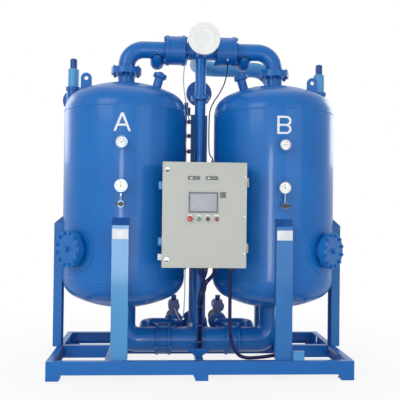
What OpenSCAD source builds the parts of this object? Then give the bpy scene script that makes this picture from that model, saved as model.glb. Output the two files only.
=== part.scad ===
// Twin-tower desiccant air dryer on a skid, with its piping, valves and control cabinet.
// Millimetres. X runs from tower A to tower B, Y from the panel to the rear, Z up from the floor.
// The origin is the middle of the anchor bolt pattern, on the floor.

/* [Towers] */
// Outside diameter of each tower
tower_od = 1000; // [960:10:1020]
// Clear distance between the two towers
tower_gap = 238; // [224:2:300]
// Wall thickness of the towers
tower_wall = 10; // [6:1:14]
// Height of the lower tangent line above the floor
tangent_z = 715; // [705:5:760]
// Straight length of the shell between its tangent lines
shell_len = 1350; // [1300:10:1450]
// Thickness of the screens that hold the desiccant
screen_t = 12; // [8:1:20]

/* [Skid] */
// Height of the skid rails
rail_h = 100; // [90:2:120]
// Width of the skid rails
rail_w = 48; // [44:1:56]
// Thickness of the rail metal
rail_t = 6; // [4:0.5:8]
// Height of the feet
foot_h = 45; // [40:1:60]
// Width of a foot
foot_w = 96; // [80:2:120]
// Depth of a foot
foot_d = 110; // [100:2:130]
// Thickness of the foot plates
foot_t = 8; // [6:1:12]
// Anchor bolt hole
anchor_d = 18; // [14:1:22]
// Distance of the cross rails from the middle
cross_x = 700; // [690:5:760]
// Clearance between the low flanges and the inner rail
inner_rail_gap = 5; // [4:1:12]

/* [Legs] */
// Width of a leg
leg_w = 126; // [100:2:140]
// Depth of a leg from its face to the shell
leg_depth = 65; // [55:1:80]
// Thickness of the leg metal
leg_t = 6; // [4:0.5:8]
// Height of the top of a leg's face
leg_face_z = 1148; // [1000:5:1200]
// Rise of a leg's sloped cap
leg_slope = 60; // [40:5:90]
// How far the outer legs stand past the end rails
leg_overhang = 34; // [20:1:40]
// How far the long rails stand past the leg faces
rail_margin = 35; // [20:1:38]

/* [Top piping] */
// Outside diameter of the outlet pipe
pipe_od = 140; // [130:1:150]
// Wall of the outlet pipe
pipe_wall = 6; // [4:0.5:8]
// Bend radius of the outlet elbows
top_bend_r = 143; // [120:1:160]
// Height of the nozzle flange faces above the towers
nozzle_rise = 99; // [90:1:110]
// Height of the outlet pipe above the towers
header_rise = 285; // [280:1:320]
// Flange diameter
flange_od = 250; // [240:2:270]
// Flange thickness
flange_t = 26; // [20:1:30]
// Bolt circle of the flanges
flange_pcd = 210; // [204:1:216]
// Bolt size of the flanges
bolt_d = 16; // [12:1:18]
// Distance of the outlet check valves from the middle
top_check_x = 212; // [205:1:225]
// Length of an outlet check valve
top_check_len = 108; // [100:1:116]
// Distance of the outlet flange face in front of the middle
outlet_reach = 413; // [380:1:440]
// Thickness of the protector on the outlet flange
cover_t = 12; // [8:1:18]
// Diameter of the raised ring on the protector
cover_ring_d = 155; // [120:1:180]

/* [Rear pipe] */
// Distance of the rear pipe behind the middle
rear_y = 680; // [640:5:720]
// Distance of its drop from the middle
rear_x = 726; // [700:2:760]
// Its bend radius
rear_bend_r = 190; // [180:1:200]
// Height of its end flange
rear_end_z = 1950; // [1800:10:2100]

/* [Middle pipe] */
// Outside diameter of the small pipes
drop_od = 89; // [80:1:92]
// Wall of the small pipes
drop_wall = 4; // [3:0.5:5]
// Height of the joint in the middle pipe
drop_joint_z = 2204; // [2150:2:2260]
// Small flange diameter
small_flange_od = 160; // [150:1:170]
// Small flange thickness
small_flange_t = 16; // [12:1:20]
// Bolt circle of the small flanges
small_pcd = 130; // [124:1:136]
// Bolt size of the small flanges
small_bolt_d = 12; // [10:1:14]
// Height of the blind branch above the joint
blind_rise = 60; // [50:1:75]
// Diameter of the blind flange on the branch
blind_od = 220; // [200:2:230]
// Distance of the blind flange behind the middle
blind_y = 205; // [150:1:230]

/* [Purge lines] */
// Distance of the purge branches from the middle
purge_x = 365; // [360:1:375]
// Diameter of the purge branches
purge_stub_od = 116; // [100:1:120]
// Drop of the purge branches below the outlet pipe
purge_drop = 86; // [84:1:92]
// Diameter of the purge pipes
purge_od = 60; // [48:1:62]
// Distance of the purge pipes behind the middle
purge_y = 200; // [190:1:220]

/* [Bottom piping] */
// Outside diameter of the inlet pipe
low_pipe_od = 203; // [190:1:206]
// Wall of the inlet pipe
low_pipe_wall = 6.5; // [5:0.5:8]
// Bend radius of the inlet elbows
low_bend_r = 125; // [112:1:150]
// Depth of the inlet pipe below the towers
manifold_drop = 272; // [262:1:274]
// Inlet joint flange diameter
low_flange_od = 254; // [250:1:264]
// Inlet joint flange thickness
low_flange_t = 16; // [12:1:20]
// Bolt circle of the inlet joints
low_pcd = 230; // [226:1:236]
// Bolt size of the inlet joints
low_bolt_d = 12; // [10:1:12]
// Distance of the inlet check valves from the middle
low_check_x = 287; // [280:1:290]
// Length of an inlet check valve
low_check_len = 80; // [76:1:84]
// Distance of the inlet flange face behind the middle
inlet_reach = 640; // [635:1:680]
// Height of the inlet branch above the inlet pipe
inlet_lift = 24; // [20:0.5:28]

/* [Check valves] */
// Travel of a check disc
check_travel = 18; // [10:1:18]
// Thickness of a check disc
check_disc_t = 10; // [8:1:11]
// Stem diameter of a check disc
check_stem_d = 16; // [12:1:20]
// Length of the hub that guides the stem
check_hub_len = 22; // [18:1:24]

/* [Exhaust] */
// Distance of the exhaust branches from the middle
exhaust_x = 440; // [425:1:444]
// Height of the exhaust pipes above the inlet pipe
exhaust_lift = 97; // [95:0.5:100]
// Distance of the exhaust valves from the middle
valve_x = 194; // [188:1:200]
// Bend radius of the exhaust pipes
exhaust_bend_r = 76; // [70:1:78]
// Width of an exhaust valve body
valve_len = 46; // [40:1:50]
// Outside diameter of an exhaust valve body
valve_od = 112; // [104:1:114]
// Stem diameter of an exhaust valve
valve_stem_d = 14; // [12:1:18]
// Thickness of an exhaust valve disc
valve_disc_t = 8; // [6:0.5:9]
// Height of the actuator axis above the valve
actuator_rise = 141; // [136:1:170]
// Diameter of the actuator
actuator_d = 92; // [80:1:100]
// Length of the actuator
actuator_len = 190; // [160:2:220]
// Height of the position knob
knob_h = 28; // [20:1:40]
// Diameter of a silencer
silencer_d = 124; // [100:1:140]
// Length of a silencer
silencer_len = 240; // [200:5:260]

/* [Fittings on the towers] */
// Distance of the fill port from the tower axis
fill_offset = 250; // [200:5:300]
// Neck diameter of the fill port
fill_neck_d = 76; // [60:1:90]
// Neck length of the fill port
fill_neck_h = 88; // [60:1:110]
// Fill cap diameter
fill_cap_d = 114; // [100:1:130]
// Fill cap height
fill_cap_h = 38; // [30:1:50]
// Distance of the lifting lugs from the tower axis
lug_offset = 330; // [300:5:360]
// Width of a lifting lug
lug_w = 90; // [80:1:110]
// Thickness of a lifting lug
lug_t = 16; // [12:1:20]
// Height of a lifting lug's hole above the tangent line
lug_rise = 288; // [270:1:310]
// Hole in a lifting lug
lug_hole = 33; // [25:1:40]
// Handhole height above the floor
hand_z = 960; // [940:5:1100]
// Handhole neck diameter
hand_neck_d = 203; // [180:1:220]
// Handhole flange diameter
hand_od = 285; // [270:1:300]
// Distance of the handhole flange face from the shell
hand_face_r = 62; // [55:1:100]
// Handhole flange thickness
hand_flange_t = 22; // [16:1:26]
// Handhole cover thickness
hand_cover_t = 24; // [18:1:30]
// Handhole pad diameter
hand_pad_d = 370; // [340:5:400]
// Thickness of the handhole pad
hand_pad_t = 8; // [6:1:12]
// Bolt circle of the handhole
hand_pcd = 248; // [240:1:254]

/* [Safety valves] */
// Distance of a safety valve from the tower axis
sv_reach = 652; // [640:1:670]
// Direction of a safety valve behind the outer side
sv_angle = 41; // [35:1:50]
// Depth of its nozzle below the upper tangent line
sv_drop = 40; // [30:1:80]
// Height of its inlet flange above the nozzle
sv_rise = 89; // [85:1:100]
// Nozzle diameter
sv_nozzle_d = 60; // [48:1:64]
// Body diameter
sv_body_d = 116; // [100:1:124]
// Body height
sv_body_h = 222; // [210:1:240]
// Bonnet diameter
sv_bonnet_d = 99; // [84:1:99]
// Bonnet height
sv_bonnet_h = 179; // [150:1:190]
// Cap diameter
sv_cap_d = 63; // [50:1:70]
// Cap height
sv_cap_h = 91; // [70:1:100]
// Outlet flange diameter
sv_outlet_od = 210; // [180:1:220]

/* [Gauges] */
// Thermometer height above the floor
thermometer_z = 1772; // [1700:2:1800]
// Thermometer diameter
thermometer_d = 90; // [70:1:100]
// Pressure gauge height above the floor
gauge_z = 1445; // [1420:1:1480]
// Pressure gauge diameter
gauge_d = 98; // [80:1:106]
// Drop from the gauge to its cock
cock_drop = 138; // [130:1:150]
// Cock body diameter
cock_d = 50; // [40:1:54]
// Length of the bosses on the shell
boss_len = 25; // [18:1:30]
// Width of the cock's lever
lever_w = 82; // [70:1:100]
// Stem diameter of the cock's lever
lever_stem_d = 14; // [10:1:18]

/* [Cabinet] */
// Cabinet width
cab_w = 620; // [580:5:640]
// Cabinet height
cab_h = 775; // [740:5:800]
// Cabinet depth without the door
cab_depth = 176; // [150:2:180]
// Cabinet wall
cab_t = 3; // [2:0.5:4]
// Height of the cabinet's middle above the floor
cab_z = 1233; // [1220:1:1260]
// Distance of the cabinet's rim in front of the tower shells
cab_standoff = 159.5; // [155:0.5:180]
// Door thickness
door_t = 23; // [20:1:26]
// Door metal thickness
door_skin = 2.5; // [2:0.5:3]
// Hinge barrel diameter
hinge_d = 14; // [12:1:16]
// Hinge knuckle length
hinge_len = 34; // [28:1:40]
// Distance of the hinges from the door's ends
hinge_inset = 110; // [80:5:150]
// Hinge pin diameter
hinge_pin_d = 8; // [6:0.5:9]

/* [Controls] */
// Screen width
screen_w = 216; // [200:1:230]
// Screen height
screen_h = 151; // [140:1:160]
// Screen height above the cabinet's middle
screen_rise = 92; // [85:1:98]
// Display width
display_w = 88; // [70:1:100]
// Display height
display_h = 27; // [20:1:36]
// Display height above the cabinet's middle
display_rise = 271; // [260:1:280]
// Distance between the displays
display_pitch = 132; // [120:1:150]
// Buttons' depth below the cabinet's middle
button_drop = 29; // [25:1:36]
// Distance between the buttons
button_pitch = 65; // [60:1:70]
// Button stem diameter
button_stem_d = 22; // [18:1:24]
// Button travel
button_travel = 4; // [2:0.5:5]
// Stop button head diameter
stop_d = 40; // [34:1:44]
// Button head diameter
button_d = 29; // [26:1:34]
// Lock distance from the cabinet's middle
lock_x = 275; // [265:1:285]
// Lock height from the cabinet's nearest end
lock_z = 57.5; // [42.5:1:77.5]
// Lock face diameter
lock_d = 34; // [28:1:38]
// Lock barrel diameter
lock_barrel_d = 20; // [16:1:22]

/* [Post] */
// Post width
post_w = 140; // [130:1:146]
// Post depth
post_depth = 58; // [50:1:65]
// Post metal thickness
post_t = 6; // [4:0.5:8]
// Post height above the floor
post_top_z = 2080; // [2040:5:2100]
// Width of the post's foot
foot_span = 284; // [272:2:286]
// Size of the arms that hold the cabinet
arm_w = 40; // [30:1:44]
// Height of the arms above and below the cabinet's middle
arm_rise = 220; // [150:5:300]

/* [Cables] */
// Diameter of the cable bundle
bundle_d = 48; // [30:1:54]
// Diameter of the conduit
conduit_d = 28; // [20:1:30]
// Diameter of the sensor lead
lead_d = 10; // [6:1:12]
// Diameter of the air tubes
tube_d = 8; // [6:1:10]
// Width of the junction box
jbox_w = 86; // [84:1:110]
// Height of the junction box
jbox_h = 70; // [60:1:80]

/* [Hidden] */
$fn = 96;
// Running clearance of pins and stems, on the diameter
run_fit = 0.1;
// Clearance between pieces that don't touch
gap = 0.3;
// Overlap of cutting solids past the faces they cut
cut = 2;

tower_r = tower_od / 2;
tower_x = tower_r + tower_gap / 2;
// Standard dished head: crown and knuckle radii as shares of the diameter
crown_r = 0.904 * tower_od;
knuckle_r = 0.173 * tower_od;
crown_drop = sqrt(pow(crown_r - knuckle_r, 2) - pow(tower_r - knuckle_r, 2));
head_depth = crown_r - crown_drop;
tangent_top_z = tangent_z + shell_len;
apex_z = tangent_top_z + head_depth;
base_z = tangent_z - head_depth;

rail_top = foot_h + rail_h;
leg_face = tower_r + leg_depth;
leg_tip = sqrt(pow(tower_r, 2) - pow(leg_w / 2 - leg_t, 2)) + gap;
skid_x = tower_x + leg_face - leg_overhang;
skid_y = leg_face + rail_margin;
anchor_x = skid_x - foot_w / 2;
anchor_y = skid_y - foot_d + anchor_d + foot_t;

nozzle_z = apex_z + nozzle_rise;
header_z = apex_z + header_rise;
pipe_bore = pipe_od - 2 * pipe_wall;
bolt_hole = bolt_d + 2;
flange_bolts_n = 8;
top_check_in = top_check_x - top_check_len / 2;
top_check_out = top_check_x + top_check_len / 2;
top_check_od = flange_od - 14;

low_stub_z = base_z - 20;
manifold_z = base_z - manifold_drop;
low_bore = low_pipe_od - 2 * low_pipe_wall;
low_hole = low_bolt_d + 2;
low_check_in = low_check_x - low_check_len / 2;
low_check_out = low_check_x + low_check_len / 2;
low_check_od = low_pcd - low_hole - 2;
inlet_z = manifold_z + inlet_lift;

drop_bore = drop_od - 2 * drop_wall;
small_hole = small_bolt_d + 2;
small_bolts_n = 4;
blind_z = drop_joint_z + small_flange_t + blind_rise;

purge_wall = 4;
purge_z = header_z - purge_drop;
purge_cone_y = 100;
purge_cone_len = 30;
purge_bend_r = 40;
tee_rear_y = 110;

exhaust_z = manifold_z + exhaust_lift;
bend_margin = 3;
exhaust_run_y = exhaust_lift + exhaust_bend_r * (1 + tan(22.5)) + bend_margin;
valve_y = exhaust_run_y + exhaust_bend_r + bend_margin + small_flange_t + valve_len / 2;
valve_bore = drop_bore - 0.6;
actuator_z = exhaust_z + actuator_rise;
knob_z = actuator_z + actuator_d / 2 + 13;
knob_d = 44;

screen_r = tower_r - tower_wall - gap;
fill_tilt = asin(fill_offset / crown_r);
hand_angle = -45;
hand_reach = tower_r + hand_face_r;
hand_bolts_n = 12;
sv_z = tangent_top_z - sv_drop;
sv_face_z = sv_z + sv_rise;
sv_bend_r = 60;
sv_flange_d = 116;
sv_flange_t = 16;
sv_pos = [tower_x + sv_reach * cos(sv_angle), sv_reach * sin(sv_angle), sv_face_z];
cock_z = gauge_z - cock_drop;
boss_d = 34;
boss_y = -tower_r - boss_len;
cock_len = 44;
gauge_stem_z = gauge_z - gauge_d / 2 - 26;

rim_y = -tower_r - cab_standoff;
cab_back_y = rim_y + cab_depth;
door_back_y = rim_y - 2 * gap;
door_y = door_back_y - door_t;
skin_back_y = door_y + door_skin;
hinge_x = cab_w / 2 + hinge_d / 2 + 3;
hinge_leaf_t = 4.5;
screen_x = -10;
display_x = -15;
button_x = -107;
cab_top = cab_z + cab_h / 2;
cab_bottom = cab_z - cab_h / 2;
plate_t = 3;
plate_standoff = 10;
plate_margin = 40;

inner_rail_y = sqrt(max(0, pow(low_flange_od / 2, 2) - pow(manifold_z - rail_top, 2))) + inner_rail_gap;
post_y = inner_rail_y + 3;
portal_z = inlet_z + pipe_od / 2 + 20;
portal_half = pipe_od / 2 + 6;
post_base_z = portal_z + 40;
arm_x = (drop_od + arm_w) / 2 + 8;
jbox_x = tower_x + leg_w / 2 + 3;
jbox_depth = 52;

blue = [0.17, 0.42, 0.72];
grey = [0.76, 0.78, 0.75];
steel = [0.62, 0.64, 0.66];
dark = [0.12, 0.13, 0.15];
white = [0.95, 0.95, 0.94];

// Routes of the cables and tubes: points chosen by hand between the pieces that they join
function mix(a, b, t) = a + (b - a) * t;
end_gap = 0.8;
entry_y = rim_y + cab_depth * 0.48;
entry_z = cab_bottom - end_gap;
bundle_gap = 7;
bundle_y = -low_pipe_od / 2 - bundle_gap - bundle_d / 2;
bundle_end_z = manifold_z - low_pipe_od / 2 + end_gap;
bundle_route = concat([for (k = [[0, 0], [0, 40], [0.055, 105], [0.24, 175], [0.545, 225], [0.795, 275], [0.945, 345],
  [0.995, 425], [1, 505]]) [mix(12, 4, k[0]), mix(entry_y, bundle_y, k[0]), entry_z - k[1]]],
  [[4, bundle_y, mix(entry_z - 505, bundle_end_z, 0.5)], [4, bundle_y, bundle_end_z]]);

conduit_end = [jbox_x + jbox_w - conduit_d / 2 - 5, -skid_y + 3 + jbox_depth + end_gap, rail_top + jbox_h / 2];
conduit_x = cab_w / 2 - 104;
on_rail = rail_top + conduit_d / 2 + 2;
behind_leg = -leg_tip + conduit_d / 2 + 6;
conduit_route = concat([[conduit_x, entry_y, entry_z], [conduit_x, entry_y, entry_z - 60]],
  [for (k = [[0, 285, 0], [8, 165, 1], [30, 84, 3], [70, 26, 6], [126, 3, 11], [194, 0, 24]])
    [conduit_x + k[0], mix(entry_y, 26 - skid_y, 1 - k[1] / 285) + k[2], on_rail + k[1]]],
  [for (k = [[-149, -48], [-79, -9], [-9, 25], [51, 35]]) [tower_x + k[0], behind_leg + k[1], on_rail]],
  [conduit_end + [-30, 89, -10], conduit_end + [-4, 47, -2], conduit_end + [0, 24, 0], conduit_end]);

lead_r = (top_check_od / 2 + end_gap) / sqrt(2);
lead_z = header_z - lead_r;
lead_route = concat([[218, -lead_r, lead_z]],
  [for (k = [[218, 8, 0.0115], [217, 14, 0.0405], [212, 13, 0.13], [190, 8, 0.23], [150, 0, 0.32], [104, -8, 0.4],
    [76, -10, 0.487], [70, -4, 0.62]]) [k[0], -lead_r - k[1], mix(lead_z, cab_top + end_gap, k[2])]],
  [for (k = [[68, 0.04, 0.755], [66, 0.22, 0.867], [64, 0.57, 0.923], [62, 0.86, 0.945], [62, 0.98, 0.962],
    [62, 1, 0.978], [62, 1, 1]]) [k[0], mix(-lead_r, entry_y, k[1]), mix(lead_z, cab_top + end_gap, k[2])]]);

pilot_r = (pipe_od / 2 + end_gap) / sqrt(2);
pilot_z = header_z - pilot_r;
pilot_end_z = post_top_z - 84;
pilot_route = concat([for (k = [[-100, 0, 0], [-101, 14, 0.025], [-126, 38, 0.116], [-142, 40, 0.235], [-144, 26, 0.415],
  [-132, 4, 0.596]]) [k[0], -pilot_r - k[1], mix(pilot_z, pilot_end_z, k[2])]],
  [for (k = [[-112, 0.2, 0.758], [-98, 0.5, 0.884], [-76, 0.82, 0.965], [-62, 0.94, 1], [-60, 1, 1]])
    [k[0], mix(-pilot_r, post_y - end_gap, k[1]), mix(pilot_z, pilot_end_z, k[2])]]);

air_end_y = valve_y - actuator_len / 2 - end_gap;
air_route = [[-134, entry_y, entry_z], [-134, entry_y, entry_z - 60], [-134, mix(entry_y, 0, 0.06), actuator_z + 190],
  [-136, mix(entry_y, 0, 0.21), actuator_z + 59], [-142, mix(entry_y, 0, 0.46), actuator_z - 21],
  [-152, mix(entry_y, 0, 0.73), actuator_z - 55], [-164, 0, actuator_z - 55], [-178, air_end_y * 0.42, actuator_z - 32],
  [-valve_x + 2, air_end_y * 0.82, actuator_z - 5], [-valve_x, air_end_y * 0.94, actuator_z],
  [-valve_x, air_end_y, actuator_z]];

// Geometry helpers

function unit(v) = v / norm(v);
function beside(z) = unit(cross(abs(z[2]) < 0.9 ? [0, 0, 1] : [1, 0, 0], z));
function frame(o, x, y, z) = [[x[0], y[0], z[0], o[0]], [x[1], y[1], z[1], o[1]], [x[2], y[2], z[2], o[2]],
  [0, 0, 0, 1]];

// Children placed at p with their Z axis along n
module along(p, n) {
  x = beside(n);
  multmatrix(frame(p, x, cross(n, x), n)) children();
}

// Round bar between two points
module bar(p, q, d) {
  along(p, unit(q - p)) cylinder(d = d, h = norm(q - p));
}

// Quarter or part bend at corner p, from direction u to direction v
module bend(p, u, v, r, d) {
  turn = acos(u * v);
  n = unit(v - u * (u * v));
  start = p - u * r * tan(turn / 2);
  multmatrix(frame(start + n * r, -n, u, cross(-n, u)))
    rotate_extrude(angle = turn) translate([r, 0]) circle(d = d);
}

// Length that a bend takes from each side of a corner
function bend_take(a, b, c, r) = r * tan(acos(unit(b - a) * unit(c - b)) / 2);

// Solid round run through the points, with bends of radius r
module run(pts, d, r) {
  last = len(pts) - 1;
  for (i = [0 : 1 : last - 1]) {
    u = unit(pts[i + 1] - pts[i]);
    from = i == 0 ? pts[i] : pts[i] + u * bend_take(pts[i - 1], pts[i], pts[i + 1], r);
    to = i == last - 1 ? pts[last] : pts[i + 1] - u * bend_take(pts[i], pts[i + 1], pts[i + 2], r);
    bar(from, to, d);
  }
  for (i = [1 : 1 : last - 1])
    bend(pts[i], unit(pts[i] - pts[i - 1]), unit(pts[i + 1] - pts[i]), r, d);
}

// The same points with both ends drawn out, for cutting a bore
function drawn_out(pts) = let (last = len(pts) - 1) [for (i = [0 : last])
  i == 0 ? pts[0] - cut * unit(pts[1] - pts[0]) :
  i == last ? pts[last] + cut * unit(pts[last] - pts[last - 1]) : pts[i]];

module bore(pts, d, r) {
  run(drawn_out(pts), d, r);
}

// Disc with a ring of bolt holes, from p along n
module flange(p, n, od, t, pcd, count, hole) {
  along(p, n) difference() {
    cylinder(d = od, h = t);
    for (i = [0 : count - 1])
      rotate((i + 0.5) * 360 / count) translate([pcd / 2, 0, -cut]) cylinder(d = hole, h = t + 2 * cut);
  }
}

// Ring of studs with a nut at each end, clamping a length from p along n
module studs(p, n, grip, pcd, count, d) {
  nut_h = 0.8 * d;
  along(p, n) for (i = [0 : count - 1])
    rotate((i + 0.5) * 360 / count) translate([pcd / 2, 0, 0]) {
      translate([0, 0, -nut_h - d / 4]) cylinder(d = d, h = grip + 2 * nut_h + d / 2);
      for (z = [-nut_h, grip])
        translate([0, 0, z]) cylinder(d = 1.7 * d, h = nut_h, $fn = 6);
    }
}

module main_flange(p, n) {
  flange(p, n, flange_od, flange_t, flange_pcd, flange_bolts_n, bolt_hole);
}

module low_flange(p, n) {
  flange(p, n, low_flange_od, low_flange_t, low_pcd, flange_bolts_n, low_hole);
}

module small_flange(p, n) {
  flange(p, n, small_flange_od, small_flange_t, small_pcd, small_bolts_n, small_hole);
}

// Children for tower B and, mirrored, for tower A
module both() {
  children();
  side_a() children();
}

module side_a() {
  mirror([1, 0, 0]) children();
}

// Channel section of the rails, web on the Y axis and flanges towards +X
module channel() {
  difference() {
    square([rail_w, rail_h]);
    translate([rail_t, rail_t]) square([rail_w, rail_h - 2 * rail_t]);
  }
}

// Rail that starts at p, runs along X and opens towards +Y
module rail_x(p, length) {
  translate(p) rotate([90, 0, 90]) linear_extrude(length) channel();
}

// Rail that starts at p, runs along +Y and opens towards -X
module rail_y(p, length) {
  translate(p + [0, length, 0]) rotate([90, 0, 0]) mirror([1, 0, 0]) linear_extrude(length) channel();
}

// Points of a smooth curve through the route, n steps to a stretch
function knot(r, i) = r[max(0, min(len(r) - 1, i))];
function curve_at(a, b, c, d, t) = 0.5 * (2 * b + (c - a) * t + (2 * a - 5 * b + 4 * c - d) * t * t
  + (3 * b - a - 3 * c + d) * t * t * t);
function smooth(r, n) = [for (i = [0 : len(r) - 2]) for (k = [0 : n - 1])
  curve_at(knot(r, i - 1), r[i], r[i + 1], knot(r, i + 2), k / n), r[len(r) - 1]];

// Tube along a route, with rings of straight sides
module cord(route, d, sides, n) {
  line = smooth(route, n);
  last = len(line) - 1;
  // A direction that no stretch of the routes runs along
  aside = [0.3, -0.85, -0.43];
  tangents = [for (i = [0 : last]) unit(line[min(last, i + 1)] - line[max(0, i - 1)])];
  ring = [for (i = [0 : last]) let (x = unit(cross(aside, tangents[i])), y = cross(tangents[i], x))
    for (k = [0 : sides - 1]) line[i] + d / 2 * (cos(360 * k / sides) * x + sin(360 * k / sides) * y)];
  walls = [for (i = [0 : last - 1]) for (k = [0 : sides - 1]) let (m = (k + 1) % sides, a = i * sides,
    b = a + sides) for (face = [[a + k, b + k, b + m], [a + k, b + m, a + m]]) face];
  polyhedron(ring, concat(walls,
    [[for (k = [0 : sides - 1]) k], [for (k = [sides - 1 : -1 : 0]) last * sides + k]]));
}

// Skid

module skid_long_rails() {
  color(blue) {
    rail_x([-skid_x, -skid_y, foot_h], 2 * skid_x);
    mirror([0, 1, 0]) rail_x([-skid_x, -skid_y, foot_h], 2 * skid_x);
  }
}

module skid_end_rails() {
  inside = skid_y - rail_w;
  color(blue) both() rail_y([skid_x, -inside, foot_h], 2 * inside);
}

module skid_cross_rails() {
  inside = skid_y - rail_w - gap;
  cross_out = cross_x + rail_w / 2;
  end_in = skid_x - rail_w;
  color(blue) {
    both() {
      rail_y([cross_out, -inside, foot_h], 2 * inside);
      rail_x([cross_out + gap, -rail_w / 2, foot_h], end_in - cross_out - 2 * gap);
    }
    rail_x([rail_w - cross_out + gap, inner_rail_y, foot_h], 2 * (cross_out - rail_w - gap));
  }
}

// One foot: a base plate with an anchor hole, and two plates up to the rail
module foot() {
  splay = 18;
  difference() {
    translate([-foot_w / 2, 0, 0]) cube([foot_w, foot_d, foot_t]);
    translate([0, foot_d - anchor_d - foot_t, -cut]) cylinder(d = anchor_d, h = foot_t + 2 * cut);
  }
  for (y = [foot_t, rail_w])
    translate([0, y, 0]) rotate([90, 0, 0]) linear_extrude(foot_t)
      polygon([[-foot_w / 2, foot_t], [foot_w / 2, foot_t], [foot_w / 2, foot_h], [-foot_w / 2 - splay, foot_h]]);
}

module skid_feet() {
  color(blue) for (turn = [0, 1]) mirror([0, turn, 0]) translate([0, -skid_y, 0]) {
    both() translate([anchor_x, 0, 0]) foot();
    foot();
  }
}

// Towers

// Right half of the vessel's section, drawn in by inset
module vessel_profile(inset) {
  knuckle_x = tower_r - knuckle_r;
  translate([0, tangent_z]) square([tower_r - inset, shell_len]);
  for (top = [0, 1]) translate([0, tangent_z + top * shell_len]) mirror([0, 1 - top]) {
    translate([knuckle_x, 0]) circle(knuckle_r - inset);
    intersection() {
      translate([0, -crown_drop]) circle(crown_r - inset);
      polygon([[0, -crown_drop], [0, 2 * crown_r], [2 * knuckle_x, crown_drop]]);
    }
  }
}

// Children along the axis of the fill port, measured from the head's surface
module on_fill_port() {
  translate([tower_x, 0, tangent_top_z - crown_drop]) rotate([0, -fill_tilt, 0]) translate([0, 0, crown_r]) children();
}

// Children along the axis of the handhole, measured from the tower axis
module on_handhole() {
  translate([tower_x, 0, hand_z]) rotate([0, 90, hand_angle]) children();
}

sv_route = [[tower_r - 40, 0, sv_z], [sv_reach, 0, sv_z], [sv_reach, 0, sv_face_z]];

module lug() {
  root_z = 160;
  rotate([90, 0, 0]) linear_extrude(lug_t, center = true) difference() {
    union() {
      circle(d = lug_w);
      translate([-lug_w / 2, -root_z]) square([lug_w, root_z]);
    }
    circle(d = lug_hole);
  }
}

module lifting_lugs() {
  color(blue) both() translate([tower_x, 0, 0]) difference() {
    for (turn = [0, 90]) rotate(turn) translate([lug_offset, 0, tangent_top_z + lug_rise]) lug();
    translate([0, 0, tangent_top_z - crown_drop]) sphere(crown_r + gap / 2);
  }
}

module tower_outside() {
  translate([tower_x, 0, 0]) {
    rotate_extrude() vessel_profile(0);
    translate([0, 0, apex_z - head_depth / 4]) cylinder(d = pipe_od, h = nozzle_rise + head_depth / 4);
    translate([0, 0, low_stub_z]) cylinder(d = low_pipe_od, h = head_depth / 2);
    rotate(sv_angle) {
      run(sv_route, sv_nozzle_d, sv_bend_r);
      translate([sv_reach, 0, sv_face_z - sv_flange_t]) cylinder(d = sv_flange_d, h = sv_flange_t);
    }
    for (z = [thermometer_z, cock_z]) bar([0, -tower_r + tower_wall / 2, z], [0, boss_y, z], boss_d);
    intersection() {
      cylinder(r = tower_r + hand_pad_t, h = tangent_top_z);
      translate([0, 0, hand_z]) rotate([0, 90, hand_angle]) cylinder(d = hand_pad_d, h = tower_od);
    }
  }
  main_flange([tower_x, 0, nozzle_z], [0, 0, -1]);
  on_fill_port() translate([0, 0, -tower_wall]) cylinder(d = fill_neck_d, h = fill_neck_h + tower_wall);
  on_handhole() {
    cylinder(d = hand_neck_d, h = hand_reach);
    flange([0, 0, hand_reach], [0, 0, -1], hand_od, hand_flange_t, hand_pcd, hand_bolts_n, bolt_hole);
  }
}

module tower() {
  inside = tower_r - tower_wall;
  color(blue) difference() {
    tower_outside();
    translate([tower_x, 0, 0]) {
      rotate_extrude() vessel_profile(tower_wall);
      translate([0, 0, apex_z - head_depth / 2]) cylinder(d = pipe_bore, h = nozzle_rise + head_depth);
      translate([0, 0, low_stub_z - cut]) cylinder(d = low_bore, h = head_depth);
      rotate(sv_angle) bore(sv_route, sv_nozzle_d - 2 * purge_wall, sv_bend_r);
    }
    on_fill_port() translate([0, 0, -head_depth / 2]) cylinder(d = fill_neck_d - tower_wall, h = head_depth);
    on_handhole() translate([0, 0, inside - head_depth / 2])
      cylinder(d = hand_neck_d - 2 * tower_wall, h = head_depth * 2);
  }
}

module tower_a() {
  side_a() tower();
}

module tower_b() {
  tower();
}

// Legs

module leg() {
  rise = leg_slope / (leg_face - leg_tip);
  inner = leg_tip - 10;
  difference() {
    rotate([90, 0, 0]) difference() {
      linear_extrude(leg_w, center = true) polygon([[inner, rail_top], [leg_face, rail_top],
        [leg_face, leg_face_z], [inner, leg_face_z + rise * (leg_face - inner)]]);
      linear_extrude(leg_w - 2 * leg_t, center = true) polygon([[inner - cut, rail_top - cut],
        [leg_face - leg_t, rail_top - cut], [leg_face - leg_t, leg_face_z - leg_t],
        [inner - cut, leg_face_z - leg_t + rise * (leg_face - leg_t - inner + cut)]]);
    }
    cylinder(r = tower_r + gap, h = tangent_top_z);
  }
}

module legs() {
  color(blue) translate([tower_x, 0, 0]) for (turn = [-90, 0, 90]) rotate(turn) leg();
}

module legs_a() {
  side_a() legs();
}

module legs_b() {
  legs();
}

// Inside the towers

module bed_screens() {
  color(steel) both() for (z = [tangent_z, tangent_top_z - screen_t])
    translate([tower_x, 0, z]) cylinder(r = screen_r, h = screen_t);
}

module desiccant_beds() {
  color(white) both() translate([tower_x, 0, tangent_z + screen_t])
    cylinder(r = screen_r, h = shell_len - 2 * screen_t);
}

// Fittings on the towers

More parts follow.
